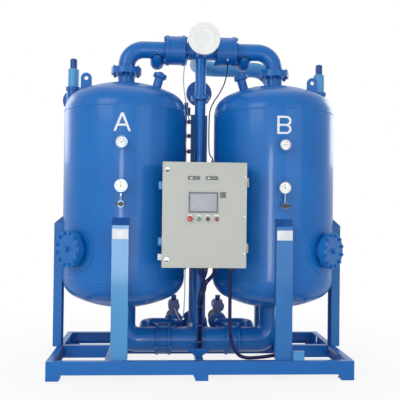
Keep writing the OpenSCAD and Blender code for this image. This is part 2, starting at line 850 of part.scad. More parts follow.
module fill_caps() {
  hex_d = 46;
  hex_h = 14;
  edge = 6;
  color(blue) both() on_fill_port() translate([0, 0, fill_neck_h]) {
    rotate_extrude() polygon([[0, 0], [fill_cap_d / 2 - edge, 0], [fill_cap_d / 2, edge],
      [fill_cap_d / 2, fill_cap_h - edge], [fill_cap_d / 2 - edge, fill_cap_h], [0, fill_cap_h]]);
    translate([0, 0, fill_cap_h]) cylinder(d = hex_d, h = hex_h, $fn = 6);
  }
}

// Blind covers of the handholes and of the branch on the middle pipe
module blind_covers() {
  plug_d = 40;
  plug_h = 22;
  color(blue) {
    both() on_handhole() {
      flange([0, 0, hand_reach], [0, 0, 1], hand_od, hand_cover_t, hand_pcd, hand_bolts_n, bolt_hole);
      translate([0, 0, hand_reach + hand_cover_t]) cylinder(d = plug_d, h = plug_h, $fn = 6);
    }
    flange([0, blind_y, blind_z], [0, 1, 0], blind_od, small_flange_t, blind_od - 36, flange_bolts_n, small_hole);
  }
}

module safety_valve() {
  neck_r = sv_nozzle_d / 2 + 6;
  bowl_z = 46;
  collar_r = sv_body_d / 2 + 9;
  collar_t = 13;
  bonnet_top = sv_body_h + sv_bonnet_h;
  cap_top = bonnet_top + sv_cap_h;
  edge = 10;
  outlet_z = sv_body_h * 0.6;
  outlet_d = 84;
  outlet_y = 112;
  outlet_t = 18;
  rotate_extrude() polygon([[0, 0], [sv_flange_d / 2, 0], [sv_flange_d / 2, sv_flange_t], [neck_r, sv_flange_t],
    [neck_r, bowl_z - edge], [sv_body_d / 2, bowl_z + edge], [sv_body_d / 2, sv_body_h - collar_t],
    [collar_r, sv_body_h - collar_t], [collar_r, sv_body_h + collar_t], [sv_bonnet_d / 2, sv_body_h + collar_t],
    [sv_bonnet_d / 2, bonnet_top - edge], [sv_bonnet_d / 2 - edge, bonnet_top], [sv_cap_d / 2, bonnet_top],
    [sv_cap_d / 2, cap_top - edge], [sv_cap_d / 2 - edge, cap_top], [0, cap_top]]);
  bar([0, 0, outlet_z], [0, outlet_y, outlet_z], outlet_d);
  bar([0, outlet_y - outlet_t, outlet_z], [0, outlet_y, outlet_z], sv_outlet_od);
}

module safety_valves() {
  color(blue) both() translate(sv_pos) safety_valve();
}

// Round dial case that faces the front, its back at y
module dial_case(y, z, d, depth) {
  lip = 5;
  window = d / 2 - 6;
  translate([tower_x, y, z]) rotate([90, 0, 0]) rotate_extrude() polygon([[0, 0], [d / 2 - lip, 0],
    [d / 2, lip], [d / 2, depth], [window, depth], [window, depth - lip], [0, depth - lip]]);
}

module thermometers() {
  stem_d = 18;
  stem_len = 12;
  color(white) both() {
    bar([tower_x, boss_y, thermometer_z], [tower_x, boss_y - stem_len, thermometer_z], stem_d);
    dial_case(boss_y - stem_len, thermometer_z, thermometer_d, 28);
  }
}

module pressure_gauges() {
  stem_d = 16;
  nut_d = 26;
  nut_h = 14;
  depth = 36;
  color(white) both() {
    dial_case(boss_y - cock_len / 2 + depth / 2, gauge_z, gauge_d, depth);
    translate([tower_x, boss_y - cock_len / 2, gauge_stem_z]) {
      cylinder(d = stem_d, h = gauge_z - gauge_d / 4 - gauge_stem_z);
      cylinder(d = nut_d, h = nut_h, $fn = 6);
    }
  }
}

module gauge_cocks() {
  riser_d = 18;
  stem_bore = lever_stem_d + run_fit;
  stem_depth = 24;
  color(steel) both() difference() {
    union() {
      bar([tower_x, boss_y, cock_z], [tower_x, boss_y - cock_len, cock_z], cock_d);
      translate([tower_x, boss_y - cock_len / 2, cock_z]) cylinder(d = riser_d, h = gauge_stem_z - cock_z);
    }
    bar([tower_x, boss_y - cock_len + stem_depth, cock_z], [tower_x, boss_y - cock_len - cut, cock_z], stem_bore);
  }
}

// Tee handle of the cock, on its stem
module cock_lever() {
  hub_d = 40;
  hub_h = 14;
  wing_h = 16;
  wing_t = 10;
  stem_len = 22;
  face = boss_y - cock_len - gap;
  color(dark) {
    bar([tower_x, face + stem_len, cock_z], [tower_x, face - hub_h, cock_z], lever_stem_d);
    bar([tower_x, face, cock_z], [tower_x, face - hub_h, cock_z], hub_d);
    translate([tower_x, face - hub_h, cock_z]) rotate([-90, 0, 0]) linear_extrude(wing_t) {
      square([lever_w - wing_h, wing_h], center = true);
      for (side = [-1, 1]) translate([side * (lever_w - wing_h) / 2, 0]) circle(d = wing_h);
    }
  }
}

module cock_lever_a() {
  side_a() cock_lever();
}

module cock_lever_b() {
  cock_lever();
}

// Top piping

outlet_route = [[tower_x, 0, nozzle_z], [tower_x, 0, header_z], [top_check_out, 0, header_z]];

module outlet_elbow() {
  color(blue) difference() {
    union() {
      run(outlet_route, pipe_od, top_bend_r);
      main_flange([tower_x, 0, nozzle_z], [0, 0, 1]);
      main_flange([top_check_out, 0, header_z], [1, 0, 0]);
    }
    bore(outlet_route, pipe_bore, top_bend_r);
    bar([purge_x, 0, header_z], [purge_x, 0, header_z - pipe_od], purge_stub_od - 2 * purge_wall);
  }
}

module outlet_elbow_a() {
  side_a() outlet_elbow();
}

module outlet_elbow_b() {
  outlet_elbow();
}

// Wafer check valve: a ring with a seat at its start and a guide hub at its end, from p along n
check_seat_z = 8;
check_seat_t = 8;
check_lift_z = check_seat_z + check_seat_t + gap;

module check_body(p, n, od, d, length, pcd, hole) {
  seat_d = d - 34;
  hub_d = check_stem_d + 20;
  bar_w = 14;
  hub_z = length - check_hub_len - 4;
  along(p, n) difference() {
    union() {
      difference() {
        cylinder(d = od, h = length);
        translate([0, 0, -cut]) cylinder(d = d, h = length + 2 * cut);
      }
      translate([0, 0, check_seat_z]) cylinder(d = d + cut, h = check_seat_t);
      translate([0, 0, hub_z]) {
        cylinder(d = hub_d, h = check_hub_len);
        for (turn = [0, 90]) rotate(turn)
          translate([-d / 2 - 1, -bar_w / 2, 0]) cube([d + 2, bar_w, check_hub_len]);
      }
    }
    translate([0, 0, -cut]) cylinder(d = seat_d, h = check_seat_z + check_seat_t + 2 * cut);
    cylinder(d = check_stem_d + run_fit, h = length + cut);
    for (i = [0 : flange_bolts_n - 1])
      rotate((i + 0.5) * 360 / flange_bolts_n) translate([pcd / 2, 0, -cut])
        cylinder(d = hole, h = length + 2 * cut);
  }
}

// Its disc and stem, shut on the seat
module check_disc(p, n, d, length) {
  disc_d = d - 20;
  along(p, n) translate([0, 0, check_lift_z]) {
    cylinder(d = disc_d, h = check_disc_t);
    cylinder(d = check_stem_d, h = length - check_lift_z - 4);
  }
}

module outlet_check_bodies() {
  color(blue) both() check_body([top_check_out, 0, header_z], [-1, 0, 0], top_check_od, pipe_bore, top_check_len,
    flange_pcd, bolt_hole);
}

module outlet_check_disc() {
  color(steel) check_disc([top_check_out, 0, header_z], [-1, 0, 0], pipe_bore, top_check_len);
}

module outlet_check_disc_a() {
  side_a() outlet_check_disc();
}

module outlet_check_disc_b() {
  outlet_check_disc();
}

module outlet_tee() {
  drop_end = drop_joint_z;
  branch_end = [0, blind_y, blind_z];
  color(blue) difference() {
    union() {
      bar([-top_check_in, 0, header_z], [top_check_in, 0, header_z], pipe_od);
      for (side = [-1, 1]) main_flange([side * top_check_in, 0, header_z], [-side, 0, 0]);
      bar([0, tee_rear_y, header_z], [0, -outlet_reach, header_z], pipe_od);
      main_flange([0, -outlet_reach, header_z], [0, 1, 0]);
      bar([0, 0, header_z], [0, 0, drop_end], drop_od);
      small_flange([0, 0, drop_end], [0, 0, 1]);
      bar([0, 0, blind_z], branch_end, drop_od);
      flange(branch_end, [0, -1, 0], blind_od, small_flange_t, blind_od - 36, flange_bolts_n, small_hole);
    }
    bar([-top_check_in - cut, 0, header_z], [top_check_in + cut, 0, header_z], pipe_bore);
    bar([0, tee_rear_y + cut, header_z], [0, -outlet_reach - cut, header_z], pipe_bore);
    bar([0, 0, header_z], [0, 0, drop_end - cut], drop_bore);
    bar([0, 0, blind_z], branch_end + [0, cut, 0], drop_bore);
  }
}

module outlet_protector() {
  plug_h = 10;
  ring_w = 9;
  dish = 3;
  rim = 6;
  ring_r = cover_ring_d / 2;
  color(white) translate([0, -outlet_reach, header_z]) rotate([90, 0, 0]) rotate_extrude()
    polygon([[0, -plug_h], [pipe_bore / 2 - 1, -plug_h], [pipe_bore / 2 - 1, 0], [flange_od / 2, 0],
      [flange_od / 2, cover_t - rim / 2], [flange_od / 2 - rim, cover_t], [ring_r + ring_w, cover_t],
      [ring_r, cover_t + dish], [ring_r - ring_w, cover_t], [ring_r - 2 * ring_w, cover_t - dish], [0, cover_t - dish]]);
}

rear_route = [[0, tee_rear_y, header_z], [0, rear_y, header_z], [rear_x, rear_y, header_z],
  [rear_x, rear_y, rear_end_z]];

module rear_pipe() {
  color(blue) difference() {
    union() {
      run(rear_route, pipe_od, rear_bend_r);
      main_flange([rear_x, rear_y, rear_end_z], [0, 0, 1]);
    }
    bore(rear_route, pipe_bore, rear_bend_r);
    both() bar([0, purge_y, header_z], [pipe_od, purge_y, header_z], purge_od - 2 * purge_wall);
  }
}

// One purge line: a wide elbow under the outlet pipe, a reducer and a small pipe to the rear pipe
module purge_solid(inset, ends) {
  wide = purge_stub_od - 2 * inset;
  narrow = purge_od - 2 * inset;
  cone_end = purge_cone_y + purge_cone_len;
  run([[purge_x, 0, header_z], [purge_x, 0, purge_z], [purge_x, purge_cone_y, purge_z]], wide, purge_drop - 1);
  translate([purge_x, purge_cone_y, purge_z]) rotate([-90, 0, 0])
    cylinder(d1 = wide, d2 = narrow, h = purge_cone_len);
  run([[purge_x, cone_end, purge_z], [purge_x, purge_y, purge_z], [purge_x, purge_y, header_z],
    [ends, purge_y, header_z]], narrow, purge_bend_r);
}

module purge_lines() {
  color(blue) both() difference() {
    purge_solid(0, 0);
    purge_solid(purge_wall, -cut);
    bar([purge_x - pipe_od, 0, header_z], [purge_x + pipe_od, 0, header_z], pipe_od + gap);
    bar([0, purge_y - pipe_od, header_z], [0, purge_y + pipe_od, header_z], pipe_od + gap);
  }
}

module middle_pipe() {
  color(blue) difference() {
    union() {
      bar([0, 0, drop_joint_z], [0, 0, manifold_z], drop_od);
      small_flange([0, 0, drop_joint_z], [0, 0, -1]);
    }
    bar([0, 0, drop_joint_z + cut], [0, 0, manifold_z], drop_bore);
    bar([-drop_od, 0, manifold_z], [drop_od, 0, manifold_z], low_pipe_od + gap);
    bar([0, 0, inlet_z], [0, drop_od, inlet_z], pipe_od + 2 * gap);
  }
}

// Bottom piping

inlet_route = [[tower_x, 0, low_stub_z], [tower_x, 0, manifold_z], [low_check_out, 0, manifold_z]];
exhaust_route = [[exhaust_x, 0, manifold_z], [exhaust_x, exhaust_lift, exhaust_z],
  [exhaust_x, exhaust_run_y, exhaust_z],
  [valve_x, exhaust_run_y, exhaust_z], [valve_x, valve_y - valve_len / 2, exhaust_z]];
exhaust_rise = unit(exhaust_route[1] - exhaust_route[0]);
exhaust_take = bend_take(exhaust_route[0], exhaust_route[1], exhaust_route[2], exhaust_bend_r);
exhaust_weld = exhaust_route[1] - exhaust_rise * exhaust_take;

// Elbow under a tower, with the stub that the exhaust pipe is welded to
module inlet_elbow() {
  color(blue) difference() {
    union() {
      run(inlet_route, low_pipe_od, low_bend_r);
      low_flange([low_check_out, 0, manifold_z], [1, 0, 0]);
      bar(exhaust_route[0], exhaust_weld - exhaust_rise * gap, drop_od);
    }
    bore(inlet_route, low_bore, low_bend_r);
    bar(exhaust_route[0], exhaust_weld + exhaust_rise * cut, drop_bore);
  }
}

module inlet_elbow_a() {
  side_a() inlet_elbow();
}

module inlet_elbow_b() {
  inlet_elbow();
}

module inlet_check_bodies() {
  color(blue) both() check_body([low_check_in, 0, manifold_z], [1, 0, 0], low_check_od, low_bore, low_check_len,
    low_pcd, low_hole);
}

module inlet_check_disc() {
  color(steel) check_disc([low_check_in, 0, manifold_z], [1, 0, 0], low_bore, low_check_len);
}

module inlet_check_disc_a() {
  side_a() inlet_check_disc();
}

module inlet_check_disc_b() {
  inlet_check_disc();
}

module inlet_manifold() {
  color(blue) difference() {
    union() {
      bar([-low_check_in, 0, manifold_z], [low_check_in, 0, manifold_z], low_pipe_od);
      for (side = [-1, 1]) low_flange([side * low_check_in, 0, manifold_z], [-side, 0, 0]);
    }
    bar([-low_check_in - cut, 0, manifold_z], [low_check_in + cut, 0, manifold_z], low_bore);
    bar([0, 0, manifold_z], [0, 0, manifold_z + low_pipe_od], drop_bore);
    bar([0, 0, inlet_z], [0, low_pipe_od, inlet_z], pipe_bore);
  }
}

module inlet_branch() {
  color(blue) difference() {
    union() {
      bar([0, 0, inlet_z], [0, inlet_reach, inlet_z], pipe_od);
      main_flange([0, inlet_reach, inlet_z], [0, -1, 0]);
    }
    bar([0, 0, inlet_z], [0, inlet_reach + cut, inlet_z], pipe_bore);
    bar([-pipe_od, 0, manifold_z], [pipe_od, 0, manifold_z], low_pipe_od + gap);
  }
}

module exhaust_pipes() {
  ahead = [0, 1, 0];
  tail = [exhaust_route[1] + ahead * exhaust_take, exhaust_route[2], exhaust_route[3], exhaust_route[4]];
  color(blue) both() difference() {
    union() {
      bend(exhaust_route[1], -ahead, -exhaust_rise, exhaust_bend_r, drop_od);
      run(tail, drop_od, exhaust_bend_r);
      small_flange([valve_x, valve_y - valve_len / 2, exhaust_z], [0, -1, 0]);
    }
    bend(exhaust_route[1], -ahead, -exhaust_rise, exhaust_bend_r, drop_bore);
    run(concat([for (i = [0 : 2]) tail[i]], [tail[3] + [0, cut, 0]]), drop_bore, exhaust_bend_r);
  }
}

// Butterfly valve body with the neck that carries the actuator
module exhaust_valve_bodies() {
  neck_d = valve_len - 8;
  color(dark) both() difference() {
    union() {
      bar([valve_x, valve_y - valve_len / 2, exhaust_z], [valve_x, valve_y + valve_len / 2, exhaust_z], valve_od);
      bar([valve_x, valve_y, exhaust_z], [valve_x, valve_y, actuator_z - actuator_d / 2], neck_d);
    }
    bar([valve_x, valve_y - valve_len, exhaust_z], [valve_x, valve_y + valve_len, exhaust_z], valve_bore);
    bar([valve_x, valve_y, exhaust_z], [valve_x, valve_y, actuator_z], valve_stem_d + run_fit);
  }
}

// Butterfly disc, its stem through the actuator and the knob that shows its position
module exhaust_disc() {
  disc_d = valve_bore - 1.2;
  slot = 8;
  color(steel) translate([valve_x, valve_y, 0]) {
    bar([0, -valve_disc_t / 2, exhaust_z], [0, valve_disc_t / 2, exhaust_z], disc_d);
    translate([0, 0, exhaust_z]) cylinder(d = valve_stem_d, h = knob_z - exhaust_z);
    difference() {
      translate([0, 0, knob_z]) cylinder(d = knob_d, h = knob_h);
      translate([-knob_d, -slot / 2, knob_z + knob_h - slot]) cube([2 * knob_d, slot, 2 * slot]);
    }
  }
}

module exhaust_disc_a() {
  side_a() exhaust_disc();
}

module exhaust_disc_b() {
  exhaust_disc();
}

// Rack-and-pinion actuator: a barrel along Y with end caps, between its foot and its top boss
module actuators() {
  cap_d = actuator_d + 8;
  cap_t = 14;
  block = actuator_d - 12;
  boss_h = 10;
  shaft = valve_stem_d + run_fit;
  half = actuator_len / 2;
  color(dark) both() translate([valve_x, valve_y, actuator_z]) difference() {
    union() {
      bar([0, -half, 0], [0, half, 0], actuator_d);
      for (side = [-1, 1]) bar([0, side * half, 0], [0, side * (half - cap_t), 0], cap_d);
      translate([-block / 2, -block / 2, -actuator_d / 2]) cube([block, block, actuator_d]);
      cylinder(d = knob_d, h = actuator_d / 2 + boss_h);
    }
    translate([0, 0, -actuator_d]) cylinder(d = shaft, h = 3 * actuator_d);
  }
}

// Exhaust silencer: a flange, a tube with bands and a rounded end
module silencers() {
  bands = 6;
  band_t = 8;
  band_h = 4;
  neck_len = 20;
  start = valve_y + valve_len / 2;
  shell_y = start + small_flange_t + neck_len;
  pitch = (silencer_len - band_t) / (bands - 1);
  color(dark) both() translate([valve_x, 0, exhaust_z]) {
    difference() {
      union() {
        small_flange([0, start, 0], [0, 1, 0]);
        bar([0, start, 0], [0, shell_y, 0], drop_od);
      }
      bar([0, start - cut, 0], [0, shell_y - neck_len / 2, 0], drop_bore);
    }
    bar([0, shell_y, 0], [0, shell_y + silencer_len, 0], silencer_d - 2 * band_h);
    for (i = [0 : bands - 1])
      bar([0, shell_y + i * pitch, 0], [0, shell_y + i * pitch + band_t, 0], silencer_d);
  }
}

// Panel

module panel_post() {
  half = post_w / 2;
  arm_end = cab_back_y;
  color(blue) {
    difference() {
      translate([-half, post_y, post_base_z]) cube([post_w, post_depth, post_top_z - post_base_z]);
      translate([post_t - half, post_y + post_t, post_base_z - cut])
        cube([post_w - 2 * post_t, post_depth, post_top_z - post_base_z - post_t + cut]);
    }
    translate([0, post_y + post_depth / 2, 0]) rotate([90, 0, 0]) linear_extrude(post_depth / 2) difference() {
      polygon([[-half, post_base_z], [half, post_base_z], [foot_span / 2, rail_top], [-foot_span / 2, rail_top]]);
      translate([-portal_half, rail_top - cut]) square([2 * portal_half, portal_z - rail_top + cut]);
    }
    for (side = [-1, 1]) for (level = [-1, 1])
      translate([side * arm_x - arm_w / 2, arm_end, cab_z + level * arm_rise - arm_w / 2])
        cube([arm_w, post_y - arm_end, arm_w]);
  }
}

// Beam under the manifold with a splayed plate in front of the pipe
module manifold_support() {
  beam_w = 60;
  plate_w = 220;
  plate_h = 58;
  seat_z = manifold_z - low_pipe_od / 2 - gap;
  beam_z = foot_h + rail_t + gap;
  front = rail_w - skid_y;
  plate_y = bundle_y - bundle_d / 2 - bundle_gap;
  color(blue) {
    translate([-beam_w / 2, front, beam_z]) cube([beam_w, inner_rail_y - front, seat_z - beam_z]);
    translate([0, plate_y, 0]) rotate([90, 0, 0]) linear_extrude(rail_t)
      polygon([[-beam_w / 2, seat_z], [beam_w / 2, seat_z], [plate_w / 2, seat_z + plate_h],
        [-plate_w / 2, seat_z + plate_h]]);
  }
}

// Hinge knuckle round the pin, with a leaf to the cabinet's side between y0 and y1
module knuckle(z, y0, y1) {
  translate([hinge_x, rim_y - gap, z]) cylinder(d = hinge_d, h = hinge_len);
  translate([cab_w / 2, y0, z]) cube([hinge_leaf_t, y1 - y0, hinge_len]);
}

hinge_levels = [cab_bottom + hinge_inset, cab_top - hinge_inset - 2 * hinge_len];

module cabinet_box() {
  leaf_len = 30;
  color(grey) {
    translate([-cab_w / 2, rim_y, cab_bottom]) difference() {
      cube([cab_w, cab_depth, cab_h]);
      translate([cab_t, -cut, cab_t]) cube([cab_w - 2 * cab_t, cab_depth - cab_t + cut, cab_h - 2 * cab_t]);
    }
    for (z = hinge_levels) {
      knuckle(z, rim_y, rim_y + leaf_len);
      translate([hinge_x, rim_y - gap, z]) cylinder(d = hinge_pin_d, h = 2 * hinge_len - 4);
    }
  }
}

// Children at the places of the four buttons, numbered from the left
module at_button(i) {
  translate([button_x + i * button_pitch, door_y, cab_z - button_drop]) rotate([90, 0, 0]) children();
}

module at_lock(level) {
  translate([-lock_x, door_y, cab_z + level * (cab_h / 2 - lock_z)]) rotate([90, 0, 0]) children();
}

bezel_h = 3;

module cabinet_door() {
  color(grey) difference() {
    union() {
      translate([-cab_w / 2, door_y, cab_bottom]) difference() {
        cube([cab_w, door_t, cab_h]);
        translate([door_skin, door_skin, door_skin])
          cube([cab_w - 2 * door_skin, door_t, cab_h - 2 * door_skin]);
      }
      for (i = [0 : 3]) at_button(i) cylinder(d = button_d + 2, h = bezel_h);
      for (z = hinge_levels) translate([0, 0, hinge_len + gap]) knuckle(z, door_y, door_back_y);
    }
    for (z = hinge_levels) translate([hinge_x, rim_y - gap, z + hinge_len - cut])
      cylinder(d = hinge_pin_d + run_fit, h = hinge_len + gap - 2);
    for (i = [0 : 3]) at_button(i) translate([0, 0, -door_skin - cut])
      cylinder(d = button_stem_d + 2 * gap, h = door_skin + bezel_h + 2 * cut);
    for (level = [-1, 1]) at_lock(level) translate([0, 0, -door_skin - cut])
      cylinder(d = lock_barrel_d + run_fit, h = door_skin + 2 * cut);
    screen_body(gap, cut);
    for (side = [-1, 1]) display_body(side, gap, cut);
  }
}

// Part of the screen that passes through the door, grown by a clearance
module screen_body(clear, past) {
  lip = 8;
  w = screen_w - 2 * lip + 2 * clear;
  h = screen_h - 2 * lip + 2 * clear;
  translate([screen_x - w / 2, door_y - past, cab_z + screen_rise - h / 2]) cube([w, 32 + past, h]);
}

module display_body(side, clear, past) {
  lip = 4;
  w = display_w - 2 * lip + 2 * clear;
  h = display_h - 2 * lip + 2 * clear;
  x = display_x + side * display_pitch / 2;
  translate([x - w / 2, door_y - past, cab_z + display_rise - h / 2]) cube([w, 30 + past, h]);
}

module touch_screen() {
  bezel_t = 5;
  rim = 11;
  recess = 1.5;
  color(dark) {
    screen_body(0, 0);
    difference() {
      translate([screen_x - screen_w / 2, door_y - bezel_t, cab_z + screen_rise - screen_h / 2])
        cube([screen_w, bezel_t, screen_h]);
      translate([screen_x - screen_w / 2 + rim, door_y - bezel_t - cut, cab_z + screen_rise - screen_h / 2 + rim])
        cube([screen_w - 2 * rim, cut + recess, screen_h - 2 * rim]);
    }
  }
}

module panel_displays() {
  bezel_t = 4;
  color(dark) for (side = [-1, 1]) {
    display_body(side, 0, 0);
    translate([display_x + side * display_pitch / 2 - display_w / 2, door_y - bezel_t,
      cab_z + display_rise - display_h / 2]) cube([display_w, bezel_t, display_h]);
  }
}

// Quarter-turn lock: a slotted face, a barrel through the door and a cam behind it
module lock(level) {
  face_h = 6;
  slot = 4;
  barrel_len = 16;
  cam_len = 42;
  cam_w = 16;
  cam_t = 4;
  color(steel) at_lock(level) difference() {
    union() {
      translate([0, 0, gap]) cylinder(d = lock_d, h = face_h);
      translate([0, 0, -barrel_len]) cylinder(d = lock_barrel_d, h = barrel_len + face_h);
      translate([-cam_w / 2, -cam_w / 2, -barrel_len]) cube([cam_w, cam_len, cam_t]);
    }
    translate([-lock_d, -slot / 2, gap + face_h - slot / 2]) cube([2 * lock_d, slot, slot]);
  }
}

module upper_lock() {
  lock(1);
}

module lower_lock() {
  lock(-1);
}

// Button: a stem through the door, kept by a collar behind it, with a domed head
module button(i, head_d, head_h) {
  collar_t = 4;
  collar_d = button_stem_d + 8;
  neck = bezel_h + button_travel + 1;
  edge = 3;
  back = -door_skin - gap;
  at_button(i) rotate_extrude() polygon([[0, back - collar_t], [collar_d / 2, back - collar_t], [collar_d / 2, back],
    [button_stem_d / 2, back], [button_stem_d / 2, neck], [head_d / 2, neck], [head_d / 2, neck + head_h - edge],
    [head_d / 2 - edge, neck + head_h], [0, neck + head_h + edge / 2]]);
}

module stop_button() {
  color("crimson") button(0, stop_d, 14);
}

module start_button() {
  color("forestgreen") button(1, button_d, 8);
}

module mode_selector() {
  grip_w = 10;
  grip_h = 14;
  color(dark) {
    button(2, button_d, 8);
    at_button(2) translate([-grip_w / 2, -button_d / 2, bezel_h + button_travel + 6])
      cube([grip_w, button_d, grip_h]);
  }
}

module reset_button() {
  color("crimson") button(3, button_d, 8);
}

// Mounting plate in the cabinet with the controller, the pilot valves and the terminals
module control_plate() {
  plate_y = cab_back_y - cab_t - plate_standoff;
  w = cab_w - 2 * plate_margin;
  h = cab_h - 2 * plate_margin;
  stud_d = 16;
  inset = 30;
  color(steel) {
    translate([-w / 2, plate_y - plate_t, cab_z - h / 2]) cube([w, plate_t, h]);
    for (x = [-1, 1]) for (z = [-1, 1])
      bar([x * (w / 2 - inset), plate_y, cab_z + z * (h / 2 - inset)],
        [x * (w / 2 - inset), plate_y + plate_standoff, cab_z + z * (h / 2 - inset)], stud_d);
    deep = cab_depth * 0.4;
    translate([-w / 2 + inset, plate_y - plate_t - deep, cab_z + h * 0.06]) cube([w * 0.4, deep, h * 0.16]);
    translate([w * 0.04, plate_y - plate_t - deep * 0.85, cab_z + h * 0.06])
      cube([w * 0.33, deep * 0.85, h * 0.13]);
    translate([-w / 2 + inset, plate_y - plate_t - deep * 0.65, cab_z - h / 2 + inset])
      cube([w - 2 * inset, deep * 0.65, h * 0.086]);
  }
}

// Cables and tubes

module junction_box() {
  lid_t = 6;
  gland_d = conduit_d + 10;
  gland_len = 14;
  box_y = -skid_y + 3;
  color(blue) {
    translate([jbox_x, box_y + lid_t, rail_top]) cube([jbox_w, jbox_depth - lid_t - gland_len, jbox_h]);
    translate([jbox_x + 4, box_y, rail_top + 4]) cube([jbox_w - 8, lid_t, jbox_h - 8]);
    bar([jbox_x + jbox_w - gland_d / 2, box_y + jbox_depth - gland_len, rail_top + jbox_h / 2],
      [jbox_x + jbox_w - gland_d / 2, box_y + jbox_depth - gap, rail_top + jbox_h / 2], gland_d);
  }
}

module control_cables() {
  color(dark) {
    cord(bundle_route, bundle_d, 12, 1);
    cord(lead_route, lead_d, 8, 1);
  }
}

module conduit() {
  color(dark) cord(conduit_route, conduit_d, 12, 1);
}

module air_tubes() {
  color(blue) {
    cord(pilot_route, tube_d, 8, 1);
    cord(air_route, tube_d, 8, 1);
  }
}

// Studs and nuts of every flanged joint
module flange_bolts() {
  top_grip = top_check_len + 2 * flange_t;
  low_grip = low_check_len + 2 * low_flange_t;
  color(blue) {
    both() {
      studs([tower_x, 0, nozzle_z - flange_t], [0, 0, 1], 2 * flange_t, flange_pcd, flange_bolts_n, bolt_d);
      studs([top_check_out + flange_t, 0, header_z], [-1, 0, 0], top_grip, flange_pcd, flange_bolts_n, bolt_d);
      studs([low_check_in - low_flange_t, 0, manifold_z], [1, 0, 0], low_grip, low_pcd, flange_bolts_n, low_bolt_d);
      studs([valve_x, valve_y - valve_len / 2 - small_flange_t, exhaust_z], [0, 1, 0],
        valve_len + 2 * small_flange_t, small_pcd, small_bolts_n, small_bolt_d);
      on_handhole() studs([0, 0, hand_reach - hand_flange_t], [0, 0, 1], hand_flange_t + hand_cover_t, hand_pcd,
        hand_bolts_n, bolt_d);
    }
    studs([0, 0, drop_joint_z - small_flange_t], [0, 0, 1], 2 * small_flange_t, small_pcd, small_bolts_n,
      small_bolt_d);
    studs([0, blind_y - small_flange_t, blind_z], [0, 1, 0], 2 * small_flange_t, blind_od - 36, flange_bolts_n,
      small_bolt_d);
  }
}

skid_long_rails();
skid_end_rails();
skid_cross_rails();
skid_feet();
legs_a();
legs_b();
tower_a();
tower_b();
bed_screens();
desiccant_beds();
lifting_lugs();
fill_caps();
blind_covers();
safety_valves();
thermometers();
pressure_gauges();
gauge_cocks();
cock_lever_a();
cock_lever_b();
outlet_elbow_a();
outlet_elbow_b();
outlet_check_bodies();
outlet_check_disc_a();
outlet_check_disc_b();
outlet_tee();
outlet_protector();
rear_pipe();
purge_lines();
middle_pipe();
inlet_elbow_a();
inlet_elbow_b();
inlet_check_bodies();
inlet_check_disc_a();
inlet_check_disc_b();
inlet_manifold();
inlet_branch();
exhaust_pipes();
exhaust_valve_bodies();
exhaust_disc_a();
exhaust_disc_b();
actuators();
silencers();
panel_post();
manifold_support();
cabinet_box();
cabinet_door();
control_plate();
touch_screen();
panel_displays();
upper_lock();
lower_lock();
stop_button();
start_button();
mode_selector();
reset_button();
junction_box();
control_cables();
conduit();
air_tubes();
flange_bolts();
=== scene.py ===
# %% [markdown]
# # A twin-tower air dryer
# Two welded towers full of drying beads stand on a steel skid. Compressed air goes up through one
# tower while the other is dried out, and valves at the bottom change them over. The CAD frame holds
# every solid in its place already, so this lesson adds what CAD leaves out: cables and tubes, paint
# and metal, dials, screens and welds.

import bmesh
import bpy
import numpy as np
from mathutils import Matrix


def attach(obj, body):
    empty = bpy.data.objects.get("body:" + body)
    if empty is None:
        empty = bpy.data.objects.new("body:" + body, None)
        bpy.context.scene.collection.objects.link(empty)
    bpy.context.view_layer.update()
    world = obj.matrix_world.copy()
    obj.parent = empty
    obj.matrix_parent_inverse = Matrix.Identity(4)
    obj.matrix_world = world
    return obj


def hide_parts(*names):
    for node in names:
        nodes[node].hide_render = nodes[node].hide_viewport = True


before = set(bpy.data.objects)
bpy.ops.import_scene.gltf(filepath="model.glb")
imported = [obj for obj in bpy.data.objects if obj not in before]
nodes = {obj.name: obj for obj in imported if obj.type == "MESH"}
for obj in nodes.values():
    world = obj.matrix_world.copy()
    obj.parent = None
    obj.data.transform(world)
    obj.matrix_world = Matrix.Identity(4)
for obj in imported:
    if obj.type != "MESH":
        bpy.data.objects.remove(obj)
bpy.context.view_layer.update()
scene = bpy.context.scene

# %% [markdown]
# ## Camera
# The picture is taken from the front, a little to the left, at about half the height of the towers.
# A lens could be guessed by eye. Here its place and its three turns were worked out from points on
# the object, so that the render lies over the photograph.

# %% Camera
LENS_MM, SENSOR_MM = 58.99, 36.0
CAMERA_AT = (-0.3333, -5.4729, 1.2716)
YAW, PITCH, ROLL = 0.0622, 0.0148, 0.0116


def camera_axes(yaw, pitch, roll):
    """Right, up and back of a camera along +Y, turned right by yaw, up by pitch, then rolled."""
    right = np.array([np.cos(yaw), -np.sin(yaw), 0.0])
    ahead = np.array([np.sin(yaw), np.cos(yaw), 0.0])
    up = np.array([0.0, 0.0, 1.0])
    forward = np.cos(pitch) * ahead + np.sin(pitch) * up
    lifted = np.cos(pitch) * up - np.sin(pitch) * ahead
    level = np.cos(roll) * right + np.sin(roll) * lifted
    return level, np.cos(roll) * lifted - np.sin(roll) * right, -forward


lens = bpy.data.cameras.new("camera")
lens.lens, lens.sensor_width, lens.clip_end = LENS_MM, SENSOR_MM, 100.0
camera = bpy.data.objects.new("camera", lens)
scene.collection.objects.link(camera)
placed = np.eye(4)
placed[:3, :3] = np.stack(camera_axes(YAW, PITCH, ROLL), 1)
placed[:3, 3] = CAMERA_AT
camera.matrix_world = Matrix(placed.tolist())
scene.camera = camera
scene.view_settings.view_transform = "Standard"
print("camera:", LENS_MM, "mm lens")

# %% [markdown]
# ## Places that come back
# The middle of a tower, the face of the door and the line of the cable entries are needed in many
# steps. Each could be typed again where it is used. Named once, they can't drift apart.

